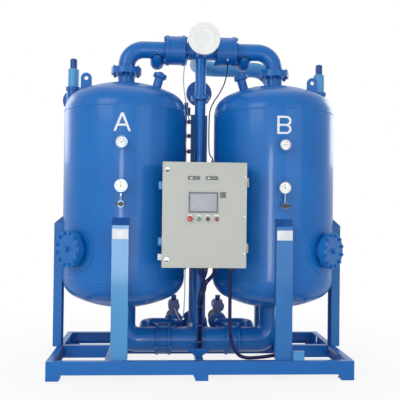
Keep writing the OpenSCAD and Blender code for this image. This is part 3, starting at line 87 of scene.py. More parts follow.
# %% Shared directions and places, in metres
FRONT, RIGHT, BACK, UP, DOWN = (0, -1, 0), (1, 0, 0), (0, 1, 0), (0, 0, 1), (0, 0, -1)
TOWER_X, SHELL = 0.619, 0.5
TOWERS = (("a", -TOWER_X), ("b", TOWER_X))
HEADER_Z = 2.6002
DOOR_Y = -0.6831
CABLE_Y, CABINET_FOOT, CABINET_TOP = -0.575, 0.8455, 1.6205
print("towers at x =", [x for _, x in TOWERS], "with radius", SHELL)

# %% [markdown]
# ## Surfaces from numbers
# Every new piece is a set of rings of points. A cable is rings along a path, a knob is rings round
# an axis and a plate is its outline at a few heights. Modelling by hand would give the same shapes,
# but as arrays they can be measured, moved and repeated exactly.

# %% Rings into meshes
def grid_faces(rows, sides, loop):
    """Quads (i, k), (i, k + 1), (i + 1, k + 1), (i + 1, k).
    A loop joins the last row to the first."""
    i, k = np.meshgrid(np.arange(rows if loop else rows - 1), np.arange(sides), indexing="ij")
    j, m = (i + 1) % rows, (k + 1) % sides
    corners = [i * sides + k, i * sides + m, j * sides + m, j * sides + k]
    return np.stack(corners, -1).reshape(-1, 4)


def shut(rings):
    """Rings with one more at each end, drawn to the middle of the end ring."""
    middle = rings.mean(1, keepdims=True).repeat(rings.shape[1], 1)
    return np.concatenate([middle[:1], rings, middle[-1:]])


def add_piece(name, mesh, look, body):
    """An object for a mesh, with one of the finishes below, that rides on a body."""
    mesh.materials.append(finishes[look])
    piece = bpy.data.objects.new(name, mesh)
    scene.collection.objects.link(piece)
    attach(piece, body)
    return piece


def make_piece(name, shells, look, body="frame", hoops=(), sharp=35):
    """One object from shells of rings, shut at both ends, and hoops of rings, which run round."""
    grids = [(shut(np.asarray(s, float)), False) for s in shells]
    grids += [(np.asarray(h, float), True) for h in hoops]
    starts = np.cumsum([0] + [g.shape[0] * g.shape[1] for g, _ in grids])
    points = np.concatenate([g.reshape(-1, 3) for g, _ in grids])
    faces = [grid_faces(*g.shape[:2], loop) + start for (g, loop), start in zip(grids, starts)]
    mesh = bpy.data.meshes.new(name)
    mesh.from_pydata(points.tolist(), [], np.concatenate(faces).tolist())
    shape = bmesh.new()
    shape.from_mesh(mesh)
    bmesh.ops.remove_doubles(shape, verts=shape.verts, dist=1e-6)
    bmesh.ops.recalc_face_normals(shape, faces=shape.faces)
    shape.to_mesh(mesh)
    shape.free()
    mesh.shade_smooth()
    mesh.set_sharp_from_angle(angle=np.radians(sharp))
    return add_piece(name, mesh, look, body)


print("mesh tools: shells are shut, hoops run round")

# %% Paths and tubes
ASKEW = (0.3, -0.85, -0.43)  # no path here runs along it


def unit(v):
    """v divided by its length."""
    v = np.asarray(v, float)
    return v / np.linalg.norm(v, axis=-1, keepdims=True)


def circle(sides):
    """Even angles round a circle."""
    return np.linspace(0, 2 * np.pi, sides, endpoint=False)


def smooth_path(route_mm, steps=14):
    """Catmull-Rom curve through the route, steps to a stretch, from millimetres to metres:
    (2 b + (c - a) u + (2 a - 5 b + 4 c - d) u^2 + (3 b - a - 3 c + d) u^3) / 2."""
    route = np.asarray(route_mm, float) / 1000
    padded = np.concatenate([2 * route[:1] - route[1:2], route, 2 * route[-1:] - route[-2:-1]])
    t = np.linspace(0, len(route) - 1, steps * (len(route) - 1) + 1)
    i = np.minimum(t.astype(int), len(route) - 2)
    u = (t - i)[:, None]
    a, b, c, d = padded[i], padded[i + 1], padded[i + 2], padded[i + 3]
    square, cube = (2 * a - 5 * b + 4 * c - d) * u**2, (3 * b - a - 3 * c + d) * u**3
    return 0.5 * (2 * b + (c - a) * u + square + cube)


def gaps(path):
    """Distance from each point to the next."""
    return np.linalg.norm(np.diff(path, axis=0), axis=1)


def distance_run(path):
    """Distance along the path from its start to each point."""
    return np.concatenate([[0], np.cumsum(gaps(path))])


def path_length(path):
    """Sum of the distances between neighbouring points."""
    return float(gaps(path).sum())


def path_axes(path):
    """Direction of the path at each point, and two directions square to it and to each other."""
    along = unit(np.gradient(path, axis=0))
    x = unit(np.cross(ASKEW, along))
    return along, x, np.cross(along, x)


def tube(path, radius, sides=14):
    """Rings p + r (cos a x + sin a y), where x and y stand square to the path."""
    _, x, y = path_axes(path)
    a = circle(sides)[None, :, None]
    r = np.broadcast_to(radius, len(path))[:, None, None]
    return path[:, None] + r * (np.cos(a) * x[:, None] + np.sin(a) * y[:, None])


print("path tools: smooth_path, tube")

# %% Lathed shapes and hoops
BEAD_SIDES = 8


def side_axes(axis):
    """An axis and two directions square to it and to each other."""
    axis = unit(axis)
    x = unit(np.cross(UP if abs(axis[2]) < 0.9 else RIGHT, axis))
    return axis, x, np.cross(axis, x)


def lathe(profile, place, axis, sides):
    """Rings of radius r at height h along an axis, for each (r, h) of a profile."""
    axis, x, y = side_axes(axis)
    r, h = np.asarray(profile, float).T[:, :, None, None]
    a = circle(sides)[None, :, None]
    return np.asarray(place) + h * axis + r * (np.cos(a) * x + np.sin(a) * y)


def hoop(centre, axis, radius, width, height, steps=96):
    """Ring of a round bead: (radius + height cos b, width / 2 sin b) carried round the axis."""
    b = circle(BEAD_SIDES)[None, :, None]
    axis, x, y = side_axes(axis)
    a = circle(steps)[:, None, None]
    out = np.cos(a) * x + np.sin(a) * y
    return np.asarray(centre) + (radius + height * np.cos(b)) * out + width / 2 * np.sin(b) * axis


print("round tools: lathe, hoop")

# %% Plates
FILM = [(0, 0), (0.0003, 0)]  # levels of a printed film


def outline(width, height, corner, steps=5):
    """Rectangle with round corners: the middle of each corner + corner (cos a, sin a)."""
    a = np.linspace(0, np.pi / 2, steps)[None, :] + np.arange(4)[:, None] * np.pi / 2
    inner = [width / 2 - corner, height / 2 - corner]
    middles = np.array([[1, 1], [-1, 1], [-1, -1], [1, -1]]) * inner
    return (middles[:, None] + corner * np.stack([np.cos(a), np.sin(a)], -1)).reshape(-1, 2)


def plate(edge, levels, place, across=RIGHT, up=UP):
    """Outline at each (height, inset): drawn in by the inset and moved out along across x up."""
    across, up = unit(across), unit(up)
    half = np.abs(edge).max(0)
    h, inset = np.asarray(levels, float).T[:, :, None]
    x = edge[None, :, 0] * (half[0] - inset) / half[0]
    y = edge[None, :, 1] * (half[1] - inset) / half[1]
    flat = np.asarray(place) + x[..., None] * across + y[..., None] * up
    return flat + h[..., None] * np.cross(across, up)


def soft_plate(width, height, thick, place, corner, edge, up=UP):
    """Plate with a rounded front edge, its back on the place."""
    levels = [(0, 0), (thick - edge, 0), (thick - 0.3 * edge, 0.3 * edge), (thick, edge)]
    return plate(outline(width, height, corner), levels, place, RIGHT, up)


print("flat tools: outline, plate, soft_plate")

# %% [markdown]
# ## Node groups for the finishes
# Sprayed paint, moulded plastic and bare metal differ in their numbers more than in their make-up.
# Each is a colour with soft patches, a fine grain in the surface, a lighter line on the edges that
# is partly wear and partly painted highlight, and dust on what faces up, and some have a belt of
# another colour, on the legs painted light and painted shade. Each material could hold all of its
# own nodes.
# As four node groups, built once, the effects are placed with a finish's own values.

# %% Colour and node helpers
COLOUR, VALUE, VECTOR = "NodeSocketColor", "NodeSocketFloat", "NodeSocketVector"


def srgb(r, g, b):
    """Linear colour of 8-bit numbers: ((c + 0.055) / 1.055) ** 2.4, or c / 12.92 when dark."""
    c = np.array([r, g, b]) / 255
    linear = np.where(c > 0.04045, ((c + 0.055) / 1.055) ** 2.4, c / 12.92)
    return tuple(linear.tolist()) + (1.0,)


def node(tree, kind, inputs=None, **settings):
    """A node of a kind with settings, its inputs linked from sockets or set to values."""
    made = tree.nodes.new(kind)
    for key, value in settings.items():
        setattr(made, key, value)
    for key, value in (inputs or {}).items():
        if isinstance(value, bpy.types.NodeSocket):
            tree.links.new(value, made.inputs[key])
        else:
            made.inputs[key].default_value = value
    return made


def calc(tree, operation, a, b, **settings):
    """Result of a sum on two values."""
    return node(tree, "ShaderNodeMath", {0: a, 1: b}, operation=operation, **settings).outputs[0]


def dot(tree, a, b):
    """Dot product of two vectors."""
    sockets = {0: a, 1: b}
    return node(tree, "ShaderNodeVectorMath", sockets, operation="DOT_PRODUCT").outputs["Value"]


def remap(tree, value, start, stop, low=0.0, high=1.0):
    """Value between low and high, as it goes from start to stop."""
    ends = {"From Min": start, "From Max": stop, "To Min": low, "To Max": high}
    return node(tree, "ShaderNodeMapRange", {"Value": value, **ends}).outputs[0]


def blend(tree, factor, under, over):
    """Colour that goes from under to over as the factor rises."""
    sockets = {"Factor": factor, 6: under, 7: over}
    return node(tree, "ShaderNodeMix", sockets, data_type="RGBA").outputs[2]


def where(tree):
    """Place on the object, in its own coordinates."""
    return node(tree, "ShaderNodeTexCoord").outputs["Object"]


def noise(tree, scale, detail):
    """Noise at a place on the object."""
    sockets = {"Vector": where(tree), "Scale": scale, "Detail": detail}
    return node(tree, "ShaderNodeTexNoise", sockets).outputs[0]


def group(name, inputs, outputs):
    """An empty shader group with named sockets, and its two end nodes."""
    tree = bpy.data.node_groups.new(name, "ShaderNodeTree")
    for label, kind, value in inputs:
        socket = tree.interface.new_socket(label, in_out="INPUT", socket_type=kind)
        socket.default_value = value
    for label, kind in outputs:
        tree.interface.new_socket(label, in_out="OUTPUT", socket_type=kind)
    return tree, tree.nodes.new("NodeGroupInput").outputs, tree.nodes.new("NodeGroupOutput").inputs


print("node tools: calc, dot, remap, blend, noise, group")

# %% Patches of tone and fine grain
tone, g_in, g_out = group(
    "patches and grain",
    [("Colour", COLOUR, (0.5, 0.5, 0.5, 1)), ("Shade", COLOUR, (0.4, 0.4, 0.4, 1)),
     ("Patch Scale", VALUE, 3.0), ("Grain Scale", VALUE, 400.0),
     ("Rough Low", VALUE, 0.3), ("Rough High", VALUE, 0.45)],
    [("Colour", COLOUR), ("Roughness", VALUE), ("Height", VALUE)])
patches = remap(tone, noise(tone, g_in["Patch Scale"], 4.0), 0.35, 0.68)
grain = noise(tone, g_in["Grain Scale"], 2.0)
rough = remap(tone, grain, 0.3, 0.7, g_in["Rough Low"], g_in["Rough High"])
tone.links.new(blend(tone, patches, g_in["Colour"], g_in["Shade"]), g_out["Colour"])
tone.links.new(rough, g_out["Roughness"])
tone.links.new(grain, g_out["Height"])
print("group:", tone.name)

# %% Rounded edges, and a lighter line on them that is partly wear, partly painted highlight
edges, g_in, g_out = group(
    "soft edges", [("Radius", VALUE, 0.002), ("Wear Scale", VALUE, 60.0)],
    [("Wear and Sheen", VALUE), ("Normal", VECTOR)])
rounded = node(edges, "ShaderNodeBevel", {"Radius": g_in["Radius"]}, samples=4).outputs[0]
plain = node(edges, "ShaderNodeNewGeometry").outputs["Normal"]
turned = remap(edges, dot(edges, rounded, plain), 0.995, 0.9)
# The edge mask places a lighter colour: partly edge wear, partly a painted highlight along the
# edges.
edge_breakup = remap(edges, noise(edges, g_in["Wear Scale"], 5.0), 0.35, 0.65)
edges.links.new(calc(edges, "MULTIPLY", turned, edge_breakup), g_out["Wear and Sheen"])
edges.links.new(rounded, g_out["Normal"])
print("group:", edges.name)

# %% Dust on what faces up
dust, g_in, g_out = group(
    "settled dust", [("Amount", VALUE, 0.3), ("Scale", VALUE, 8.0)], [("Dust", VALUE)])
normal = node(dust, "ShaderNodeNewGeometry").outputs["Normal"]
facing = node(dust, "ShaderNodeSeparateXYZ", {0: normal}).outputs["Z"]
loose = remap(dust, noise(dust, g_in["Scale"], 6.0), 0.3, 0.75)
laid = calc(dust, "MULTIPLY", remap(dust, facing, 0.55, 1.0), loose)
dust.links.new(calc(dust, "MULTIPLY", laid, g_in["Amount"]), g_out["Dust"])
print("group:", dust.name)

# %% A belt between two places on an axis
belt, g_in, g_out = group(
    "belt on an axis", [("Axis", VECTOR, (0, 0, 1)), ("Low", VALUE, 0.0), ("High", VALUE, 1.0)],
    [("Belt", VALUE)])
reach = dot(belt, where(belt), g_in["Axis"])
over = calc(belt, "GREATER_THAN", reach, g_in["Low"])
under = calc(belt, "LESS_THAN", reach, g_in["High"])
belt.links.new(calc(belt, "MULTIPLY", over, under), g_out["Belt"])
print("group:", belt.name)

# %% [markdown]
# ## Finishes
# The towers are sprayed in one glossy blue, and the cabinet in a warm light grey with a fine
# texture. A plain colour would look like plastic. The groups add the slight patches of a
# hand-sprayed coat and its orange peel, and a clear coat on the shader gives the long soft
# highlights down the towers.

# %% A finish from the groups
DUST = (196, 196, 190)
RELIEF = 0.001  # metres of height in the grain
finishes = {}


def finish(name, colour, shade, low, high, patch=2.5, grain=500.0, bump=0.05, edge=0.0015,
           worn=None, wear=0.0, dusty=0.0, belts=(), **shader):
    """Principled material: patches and grain drive colour, roughness and height, then come a
    lighter edge line, partly wear and partly painted highlight, belts and dust. Colours are 8-bit
    numbers."""
    material = bpy.data.materials.new(name)
    material.use_nodes = True
    tree = material.node_tree
    skin = tree.nodes["Principled BSDF"]
    for key, value in shader.items():
        skin.inputs[key.replace("_", " ")].default_value = value
    values = {"Colour": srgb(*colour), "Shade": srgb(*shade), "Patch Scale": patch,
              "Grain Scale": grain, "Rough Low": low, "Rough High": high}
    base = node(tree, "ShaderNodeGroup", values, node_tree=tone).outputs
    coat = base["Colour"]
    relief = {"Height": base["Height"], "Strength": bump, "Distance": RELIEF}
    if edge:
        soft = node(tree, "ShaderNodeGroup", {"Radius": edge}, node_tree=edges).outputs
        relief["Normal"] = soft["Normal"]
        if wear:
            # Lighter edge colour: partly wear, partly painted highlight.
            amount = calc(tree, "MULTIPLY", soft["Wear and Sheen"], wear)
            coat = blend(tree, amount, coat, srgb(*worn))
    for axis, start, stop, tint in belts:
        ends = {"Axis": axis, "Low": start, "High": stop}
        ring = node(tree, "ShaderNodeGroup", ends, node_tree=belt).outputs["Belt"]
        coat = blend(tree, ring, coat, srgb(*tint))
    if dusty:
        film = node(tree, "ShaderNodeGroup", {"Amount": dusty}, node_tree=dust).outputs["Dust"]
        coat = blend(tree, film, coat, srgb(*DUST))
    bumped = node(tree, "ShaderNodeBump", relief).outputs["Normal"]
    tree.links.new(coat, skin.inputs["Base Color"])
    tree.links.new(base["Roughness"], skin.inputs["Roughness"])
    tree.links.new(bumped, skin.inputs["Normal"])
    finishes[name] = material


print("finish: one material from the groups")

# %% Paints
# The pale blue edge tint of the paint is partly wear and partly a painted highlight on the edges.
PAINT = dict(bump=0.06, grain=260.0, edge=0.003, worn=(120, 184, 232), wear=0.45, dusty=0.05,
             Coat_Weight=0.22, Coat_Roughness=0.1, Specular_IOR_Level=0.24)
# Painted shade: a darker belt over the sloped caps at the tops of the legs.
CAP_PAINTED_SHADE = (UP, 1.149, 1.3, (12, 82, 158))
# Painted light: a paler belt over the front of tower A's legs.
FRONT_PAINTED_LIGHT = (BACK, -0.7, -0.4, (72, 149, 206))
BONNET = [(UP, 2.349, 2.516, (84, 162, 216)), (UP, 2.516, 2.62, (14, 72, 146))]
finish("blue_paint", (12, 110, 190), (10, 102, 182), 0.32, 0.42, **PAINT)
# The legs wear lighter copies of the blue paint as painted light, tower A's legs the palest.
finish("leg_b_lit_paint", (42, 118, 188), (34, 110, 182), 0.34, 0.46, belts=[CAP_PAINTED_SHADE], **PAINT)
finish("leg_a_lit_paint", (30, 116, 192), (24, 108, 186), 0.34, 0.46, belts=[FRONT_PAINTED_LIGHT, CAP_PAINTED_SHADE],
       **PAINT)
# Painted reflection: a pale blue for the sky mirrored on the rear pipe; the junction box and the
# cabinet ears take the same pale blue.
finish("pale_reflection_paint", (86, 162, 216), (66, 146, 208), 0.34, 0.48, **PAINT)
finish("bonnet_paint", (14, 104, 184), (11, 96, 176), 0.32, 0.42, belts=BONNET, **PAINT)
# The cabinet's lighter edge tint is partly wear and partly a painted highlight.
finish("cabinet_paint", (191, 193, 187), (184, 187, 180), 0.4, 0.52, bump=0.12, grain=900.0,
       edge=0.003, worn=(222, 225, 220), wear=0.6, dusty=0.12, Specular_IOR_Level=0.35)
finish("valve_paint", (26, 66, 148), (20, 56, 134), 0.34, 0.5, patch=12.0, grain=600.0, bump=0.12,
       edge=0.0015, worn=(84, 120, 178), wear=0.5, dusty=0.1)
finish("letter_paint", (236, 240, 243), (226, 232, 237), 0.36, 0.48, patch=14.0, grain=500.0,
       bump=0.08, edge=0)
print("paints:", len(finishes))

# %% Metals and beads
# Lighter edge tints on metals are partly wear, partly painted highlight.
finish("bare_steel", (158, 162, 166), (128, 133, 138), 0.26, 0.42, patch=14.0, grain=700.0,
       bump=0.1, edge=0.001, worn=(205, 208, 210), wear=0.5, Metallic=1.0)
finish("bright_metal", (214, 217, 220), (190, 194, 198), 0.1, 0.2, patch=20.0, grain=600.0,
       bump=0.03, edge=0.0008, Metallic=1.0)
finish("dulled_metal", (112, 130, 160), (92, 110, 142), 0.2, 0.34, patch=20.0, grain=600.0,
       bump=0.04, edge=0.0008, worn=(176, 188, 204), wear=0.4, Metallic=1.0)
finish("desiccant", (236, 234, 226), (222, 219, 209), 0.5, 0.7, patch=9.0, grain=330.0, bump=0.9,
       edge=0)
print("finishes so far:", len(finishes))

# %% Plastics
KNOB = dict(patch=30.0, grain=900.0, bump=0.05, edge=0.001)
JACKET = dict(patch=16.0, grain=700.0, edge=0, Specular_IOR_Level=0.25)
# Lighter edge tints on plastics are partly wear, partly painted highlight.
finish("white_plastic", (244, 245, 243), (236, 238, 237), 0.34, 0.46, patch=9.0, grain=520.0,
       bump=0.06, edge=0.002, worn=(252, 252, 252), wear=0.3, dusty=0.1)
finish("black_plastic", (38, 40, 44), (30, 32, 36), 0.36, 0.52, patch=18.0, grain=1100.0,
       bump=0.14, edge=0.0012, worn=(92, 94, 98), wear=0.5, dusty=0.12)
finish("grey_plastic", (108, 111, 117), (98, 101, 107), 0.36, 0.5, patch=18.0, grain=1100.0,
       bump=0.1, edge=0.001, worn=(150, 152, 156), wear=0.5)
finish("red_plastic", (196, 38, 40), (178, 30, 34), 0.24, 0.36, **KNOB)
finish("green_plastic", (46, 150, 84), (36, 134, 72), 0.24, 0.36, **KNOB)
finish("dark_red_plastic", (132, 34, 40), (112, 26, 32), 0.26, 0.4, **KNOB)
finish("cable_jacket", (12, 27, 94), (9, 21, 82), 0.44, 0.6, bump=0.15, dusty=0.08, **JACKET)
finish("conduit_jacket", (14, 19, 78), (11, 15, 68), 0.44, 0.6, bump=0.1, dusty=0.06, **JACKET)
finish("tie_plastic", (86, 78, 112), (76, 68, 100), 0.36, 0.5, patch=30.0, grain=700.0, bump=0.06,
       edge=0.0006)
finish("tube_plastic", (158, 196, 226), (142, 184, 220), 0.16, 0.3, patch=20.0, grain=500.0,
       bump=0.04, edge=0, Transmission_Weight=0.25)
print("finishes so far:", len(finishes))

# %% Print, screens and glass
finish("plate_print", (232, 236, 238), (220, 226, 230), 0.3, 0.42, patch=18.0, grain=700.0,
       bump=0.04, edge=0.0006)
finish("dial_white", (238, 239, 235), (231, 232, 228), 0.4, 0.5, patch=40.0, grain=900.0,
       bump=0.03, edge=0)
finish("dial_ink", (28, 29, 32), (38, 39, 42), 0.4, 0.5, patch=60.0, grain=900.0, bump=0.03, edge=0)
finish("caption_ink", (150, 153, 147), (142, 145, 139), 0.4, 0.5, patch=60.0, grain=900.0,
       bump=0.02, edge=0)
finish("screen_pale", (180, 182, 191), (172, 175, 186), 0.42, 0.5, patch=7.0, grain=300.0,
       bump=0.01, edge=0, Specular_IOR_Level=0.3)
finish("display_dark", (84, 89, 86), (74, 79, 77), 0.16, 0.24, patch=22.0, grain=400.0, bump=0.02,
       edge=0, Coat_Weight=0.4, Coat_Roughness=0.05)
finish("digit_pale", (198, 206, 196), (184, 194, 184), 0.4, 0.5, patch=60.0, grain=700.0,
       bump=0.02, edge=0)
finish("clear_glass", (250, 252, 252), (244, 248, 249), 0.02, 0.05, patch=12.0, grain=200.0,
       bump=0.005, edge=0, Transmission_Weight=1.0, IOR=1.15)
print("finishes:", len(finishes))

# %% [markdown]
# ## Cables, conduit and tubes
# A bunch of control cables comes together under the cabinet, runs back to the middle pipe and down
# in front of the manifold. A corrugated conduit hangs beside it and lies along the skid, and a
# sensor lead and thin air tubes join the valves. Curve objects would do, but a tube worked out from
# the same route as its CAD solid can carry the conduit's ribs and the twist of the bunch.

# %% Routes in millimetres, as in the part's source
BUNDLE = [[12, -575, 844.7], [12, -575, 804.7], [11.6, -550.7, 739.7], [10.1, -468.8, 669.7],
          [7.6, -333.8, 619.7], [5.6, -223.2, 569.7], [4.4, -156.8, 499.7], [4, -134.7, 419.7],
          [4, -132.5, 339.7], [4, -132.5, 215.9], [4, -132.5, 92.1]]
CONDUIT = [[206, -575, 844.7], [206, -575, 784.7], [206, -575, 446], [214, -573.6, 326],
           [236, -571.3, 245], [276, -568.1, 187], [332, -563, 164], [400, -550, 161],
           [470, -525, 161], [540, -486, 161], [610, -452, 161], [670, -442, 161],
           [722, -455.2, 170], [748, -497.2, 178], [752, -520.2, 180], [752, -544.2, 180]]
LEAD = [[218, -84, 2516.2], [218, -92, 2505.9], [217, -98, 2480], [212, -97, 2399.9],
        [190, -92, 2310.4], [150, -84, 2229.8], [104, -76, 2158.2], [76, -74, 2080.4],
        [70, -80, 1961.4], [68, -103.6, 1840.6], [66, -192, 1740.3], [64, -363.9, 1690.2],
        [62, -506.3, 1670.5], [62, -565.2, 1655.3], [62, -575, 1641], [62, -575, 1621.3]]
PILOT = [[-100, -50.1, 2550.2], [-101, -64.1, 2536.3], [-126, -88.1, 2485.9],
         [-142, -90.1, 2419.9], [-144, -76.1, 2320.2], [-132, -54.1, 2219.9],
         [-112, -15.1, 2130.1], [-98, 37.4, 2060.3], [-76, 93.4, 2015.4], [-62, 114.4, 1996],
         [-60, 124.9, 1996]]
AIR = [[-134, -575, 844.7], [-134, -575, 784.7], [-134, -540.5, 620.8], [-136, -454.3, 489.8],
       [-142, -310.5, 409.8], [-152, -155.3, 375.8], [-164, 0, 375.8], [-178, 96.5, 398.8],
       [-192, 188.3, 425.8], [-194, 215.9, 430.8], [-194, 229.7, 430.8]]


def lay_cord(name, path, diameter, look, node_name, rings=None):
    """A tube along the path, in place of its CAD solid, which is hidden. Its length is printed."""
    rings = tube(path, diameter / 2) if rings is None else rings
    cord = make_piece(name, [rings], look, sharp=60)
    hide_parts(node_name)
    print(name, round(path_length(path), 3), "m")


print("route points:", [len(route) for route in (BUNDLE, CONDUIT, LEAD, PILOT, AIR)])

# %% Bunch of six control cables
CABLE_D, LAY_R, TWIST = 0.016, 0.0163, 1.4  # the twist in radians per metre
FAN_Z, FAN_HEIGHT = 0.69, 0.13
ENTRIES_MM = [-36, -18, 10, 28, 82, 100]
CORE = 2  # this cable runs in the middle, with the other five round it
spine = smooth_path(BUNDLE)
spine_along, spine_x, spine_y = path_axes(spine)
apart = np.clip((spine[:, 2:3] - FAN_Z) / FAN_HEIGHT, 0, 1)
apart = apart * apart * (3 - 2 * apart)
for k, entry in enumerate(ENTRIES_MM):
    turn = (k * 2 * np.pi / 5 + TWIST * distance_run(spine))[:, None]
    ring = 0.0 if k == CORE else LAY_R
    gathered = spine + ring * (np.cos(turn) * spine_x + np.sin(turn) * spine_y)
    fanned = spine + np.array([entry / 1000 - spine[0, 0], 0, 0])
    lay_cord(f"control_cable_{k + 1}", gathered * (1 - apart) + fanned * apart, CABLE_D,
             "cable_jacket", "control_cables")

# %% Ties round the bunch
TIE_R, TIE_WIDTH, TIE_THICK = 0.0252, 0.009, 0.0014
tie_at = [int(np.argmin(np.abs(spine[:, 2] - z))) for z in (0.655, 0.5, 0.335, 0.2)]
ties = [hoop(spine[i], spine_along[i], TIE_R, TIE_WIDTH, TIE_THICK, 40) for i in tie_at]
make_piece("cable_ties", [], "tie_plastic", hoops=ties)
print("ties:", len(ties))

# %% Corrugated conduit, sensor lead and air tubes
CONDUIT_D, RIB_DEPTH, RIB_PITCH = 0.028, 0.0016, 0.0075
LEAD_D, TUBE_D = 0.010, 0.008
conduit_path = smooth_path(CONDUIT, 70)
ribs = 0.5 + 0.5 * np.cos(2 * np.pi * distance_run(conduit_path) / RIB_PITCH)
ribbed = tube(conduit_path, CONDUIT_D / 2 - RIB_DEPTH * ribs, 16)
lay_cord("cable_conduit", conduit_path, CONDUIT_D, "conduit_jacket", "conduit",
         ribbed)
lay_cord("sensor_lead", smooth_path(LEAD), LEAD_D, "cable_jacket",
         "control_cables")
lay_cord("pilot_tube", smooth_path(PILOT), TUBE_D, "tube_plastic", "air_tubes")
lay_cord("air_tube", smooth_path(AIR), TUBE_D, "tube_plastic", "air_tubes")

# %% [markdown]
# ## Finishes on the CAD pieces
# The CAD shapes are right as they are, so they keep their meshes and only get a finish each. Pipes,
# towers, legs and skid were sprayed together after welding. They could be listed one by one, but
# what isn't named below is simply blue.

# %% One finish per CAD node
WEARS = {
    "cabinet_paint": ["cabinet_box", "cabinet_door"],
    "bare_steel": ["bed_screens", "outlet_check_disc_a", "outlet_check_disc_b",
                   "inlet_check_disc_a", "inlet_check_disc_b", "control_plate"],
    "bright_metal": ["upper_lock", "lower_lock"],
    "dulled_metal": ["thermometers", "pressure_gauges", "gauge_cocks"],
    "desiccant": ["desiccant_beds"],
    "white_plastic": ["outlet_protector"],
    "grey_plastic": ["touch_screen", "panel_displays"],
    "black_plastic": ["mode_selector", "cock_lever_a", "cock_lever_b", "silencers"],
    "red_plastic": ["stop_button"],
    "green_plastic": ["start_button"],
    "dark_red_plastic": ["reset_button"],
    "valve_paint": ["exhaust_valve_bodies", "actuators", "exhaust_disc_a", "exhaust_disc_b"],
    # lighter copies of the blue paint: painted light on the legs
    "leg_b_lit_paint": ["legs_b"],
    "leg_a_lit_paint": ["legs_a"],
    # pale blue of the painted sky reflection
    "pale_reflection_paint": ["rear_pipe", "junction_box"],
    "bonnet_paint": ["safety_valves"],
}
wears = {name: look for look, names in WEARS.items() for name in names}
for name, piece in nodes.items():
    piece.data.materials.clear()
    piece.data.materials.append(finishes[wears.get(name, "blue_paint")])
print("dressed:", len(nodes), "CAD nodes, of which blue:", len(nodes) - len(wears))

# %% [markdown]
# ## Tower letters
# A big white A and B tell the towers apart. They were painted through a stencil, so they follow the
# round shell. Text objects would need bending, so each stroke is a band between a left and a right
# edge, wrapped round the cylinder: a distance along the shell becomes an angle, x / R.

# %% Strokes wrapped on the shell
LETTER_Z, TALL, STROKE, BAR = 1.860, 0.14, 0.018, 0.016
A_HALF, A_TIP = 0.066, 0.010
B_LEFT, B_BOW, B_SQUASH = -0.055, 0.012, 1.1
LIFT, LIFT_STEP, THICK = 0.0004, 0.0001, 0.0006


def shell_band(left, right, tower_x, foot_z, lift):
    """Rings of four points between two edges, at the angle x / R, from lift to lift + THICK."""
    flat = np.stack([left, right, right, left], 1)
    radius = SHELL + lift + np.array([THICK, THICK, 0, 0])
    turn = flat[..., 0] / SHELL
    x, y = tower_x + radius * np.sin(turn), -radius * np.cos(turn)
    return np.stack([x, y, foot_z + flat[..., 1]], -1)


def line(a, b):
    """Points from a to b."""
    return np.linspace(a, b, 16)


def bow(middle_z, radius):
    """Points from the top to the bottom of a bow: middle + radius (squash cos a, sin a)."""
    a = np.radians(np.linspace(90, -90, 28))
    return np.array([B_BOW, middle_z]) + radius * np.stack([B_SQUASH * np.cos(a), np.sin(a)], 1)


letter_a = [(line((-A_HALF, 0), (-A_TIP, TALL)), line((-A_HALF + STROKE, 0), (A_TIP, TALL))),
            (line((A_HALF - STROKE, 0), (-A_TIP, TALL)), line((A_HALF, 0), (A_TIP, TALL))),
            (line((-0.042, 0.056), (0.042, 0.056)), line((-0.042, 0.040), (0.042, 0.040)))]
letter_b = [(line((B_LEFT, 0), (B_LEFT, TALL)),
             line((B_LEFT + STROKE, 0), (B_LEFT + STROKE, TALL)))]
for low, high in ((0, 0.078), (0.062, TALL)):
    mid, r = (low + high) / 2, (high - low) / 2
    letter_b += [(line((B_LEFT, z), (B_BOW, z)), line((B_LEFT, inner), (B_BOW, inner)))
                 for z, inner in ((high, high - BAR), (low, low + BAR))]
    letter_b.append((bow(mid, r), bow(mid, r - BAR)))
for (tower, x), strokes in zip(TOWERS, (letter_a, letter_b)):
    bands = [shell_band(*edge_pair, x, LETTER_Z, LIFT + LIFT_STEP * i)
             for i, edge_pair in enumerate(strokes)]
    make_piece("tower_letter_" + tower, bands, "letter_paint")
print("letters: A with", len(letter_a), "strokes, B with", len(letter_b))

# %% [markdown]
# ## Dials
# Each tower has a dial thermometer near its top and a pressure gauge lower down. The CAD cases are
# empty cups. A printed card with a scale, numbers, a needle and a glass go into them. A picture of
# a dial would be quicker, but strokes as thin plates stay sharp however near the camera comes.

# %% Scale, needle and numbers
DIAL_START, DIAL_SWEEP = 225.0, -270.0
LONG, SHORT = (0.16, 0.035), (0.09, 0.018)  # length and width of a stroke, for a radius of 1
TAPER = np.array([[-0.055, -0.25], [0.055, -0.25], [0.035, 0.1], [0.008, 0.74], [-0.008, 0.74],
                  [-0.035, 0.1]])
NUMBER_SIZE, NUMBER_R = 0.24, 0.6


def dial_angles(count):
    """Even angles over the scale, in radians."""
    return np.radians(DIAL_START + DIAL_SWEEP * np.linspace(0, 1, count))


def dial_axes(a):
    """Directions across and out along the dial's radius at an angle."""
    return np.array([-np.sin(a), 0, np.cos(a)]), np.array([np.cos(a), 0, np.sin(a)])


def dial_strokes(centre, radius, count, long_every):
    """Scale strokes: thin plates at count even angles, each along the radius."""
    strokes = []
    for i, a in enumerate(dial_angles(count)):
        across, out = dial_axes(a)
        length, width = SHORT if i % long_every else LONG
        middle = np.asarray(centre) + out * radius * (0.93 - length / 2)
        edge = outline(width * radius, length * radius, 0.004 * radius, 2)
        strokes.append(plate(edge, FILM, middle, across, out))
    return strokes


def needle(centre, radius, degrees):
    """Needle as a long tapering plate, with a lathed hub."""
    across, out = dial_axes(np.radians(degrees))
    taper = TAPER * radius
    flat = np.asarray(centre) + taper[None, :, :1] * across + taper[None, :, 1:] * out
    blade = flat + np.array([0.0008, 0.0014])[:, None, None] * np.array(FRONT)
    hub = [(0.10 * radius, 0.0008), (0.10 * radius, 0.0020), (0.06 * radius, 0.0024)]
    return [blade, lathe(hub, centre, FRONT, 24)]


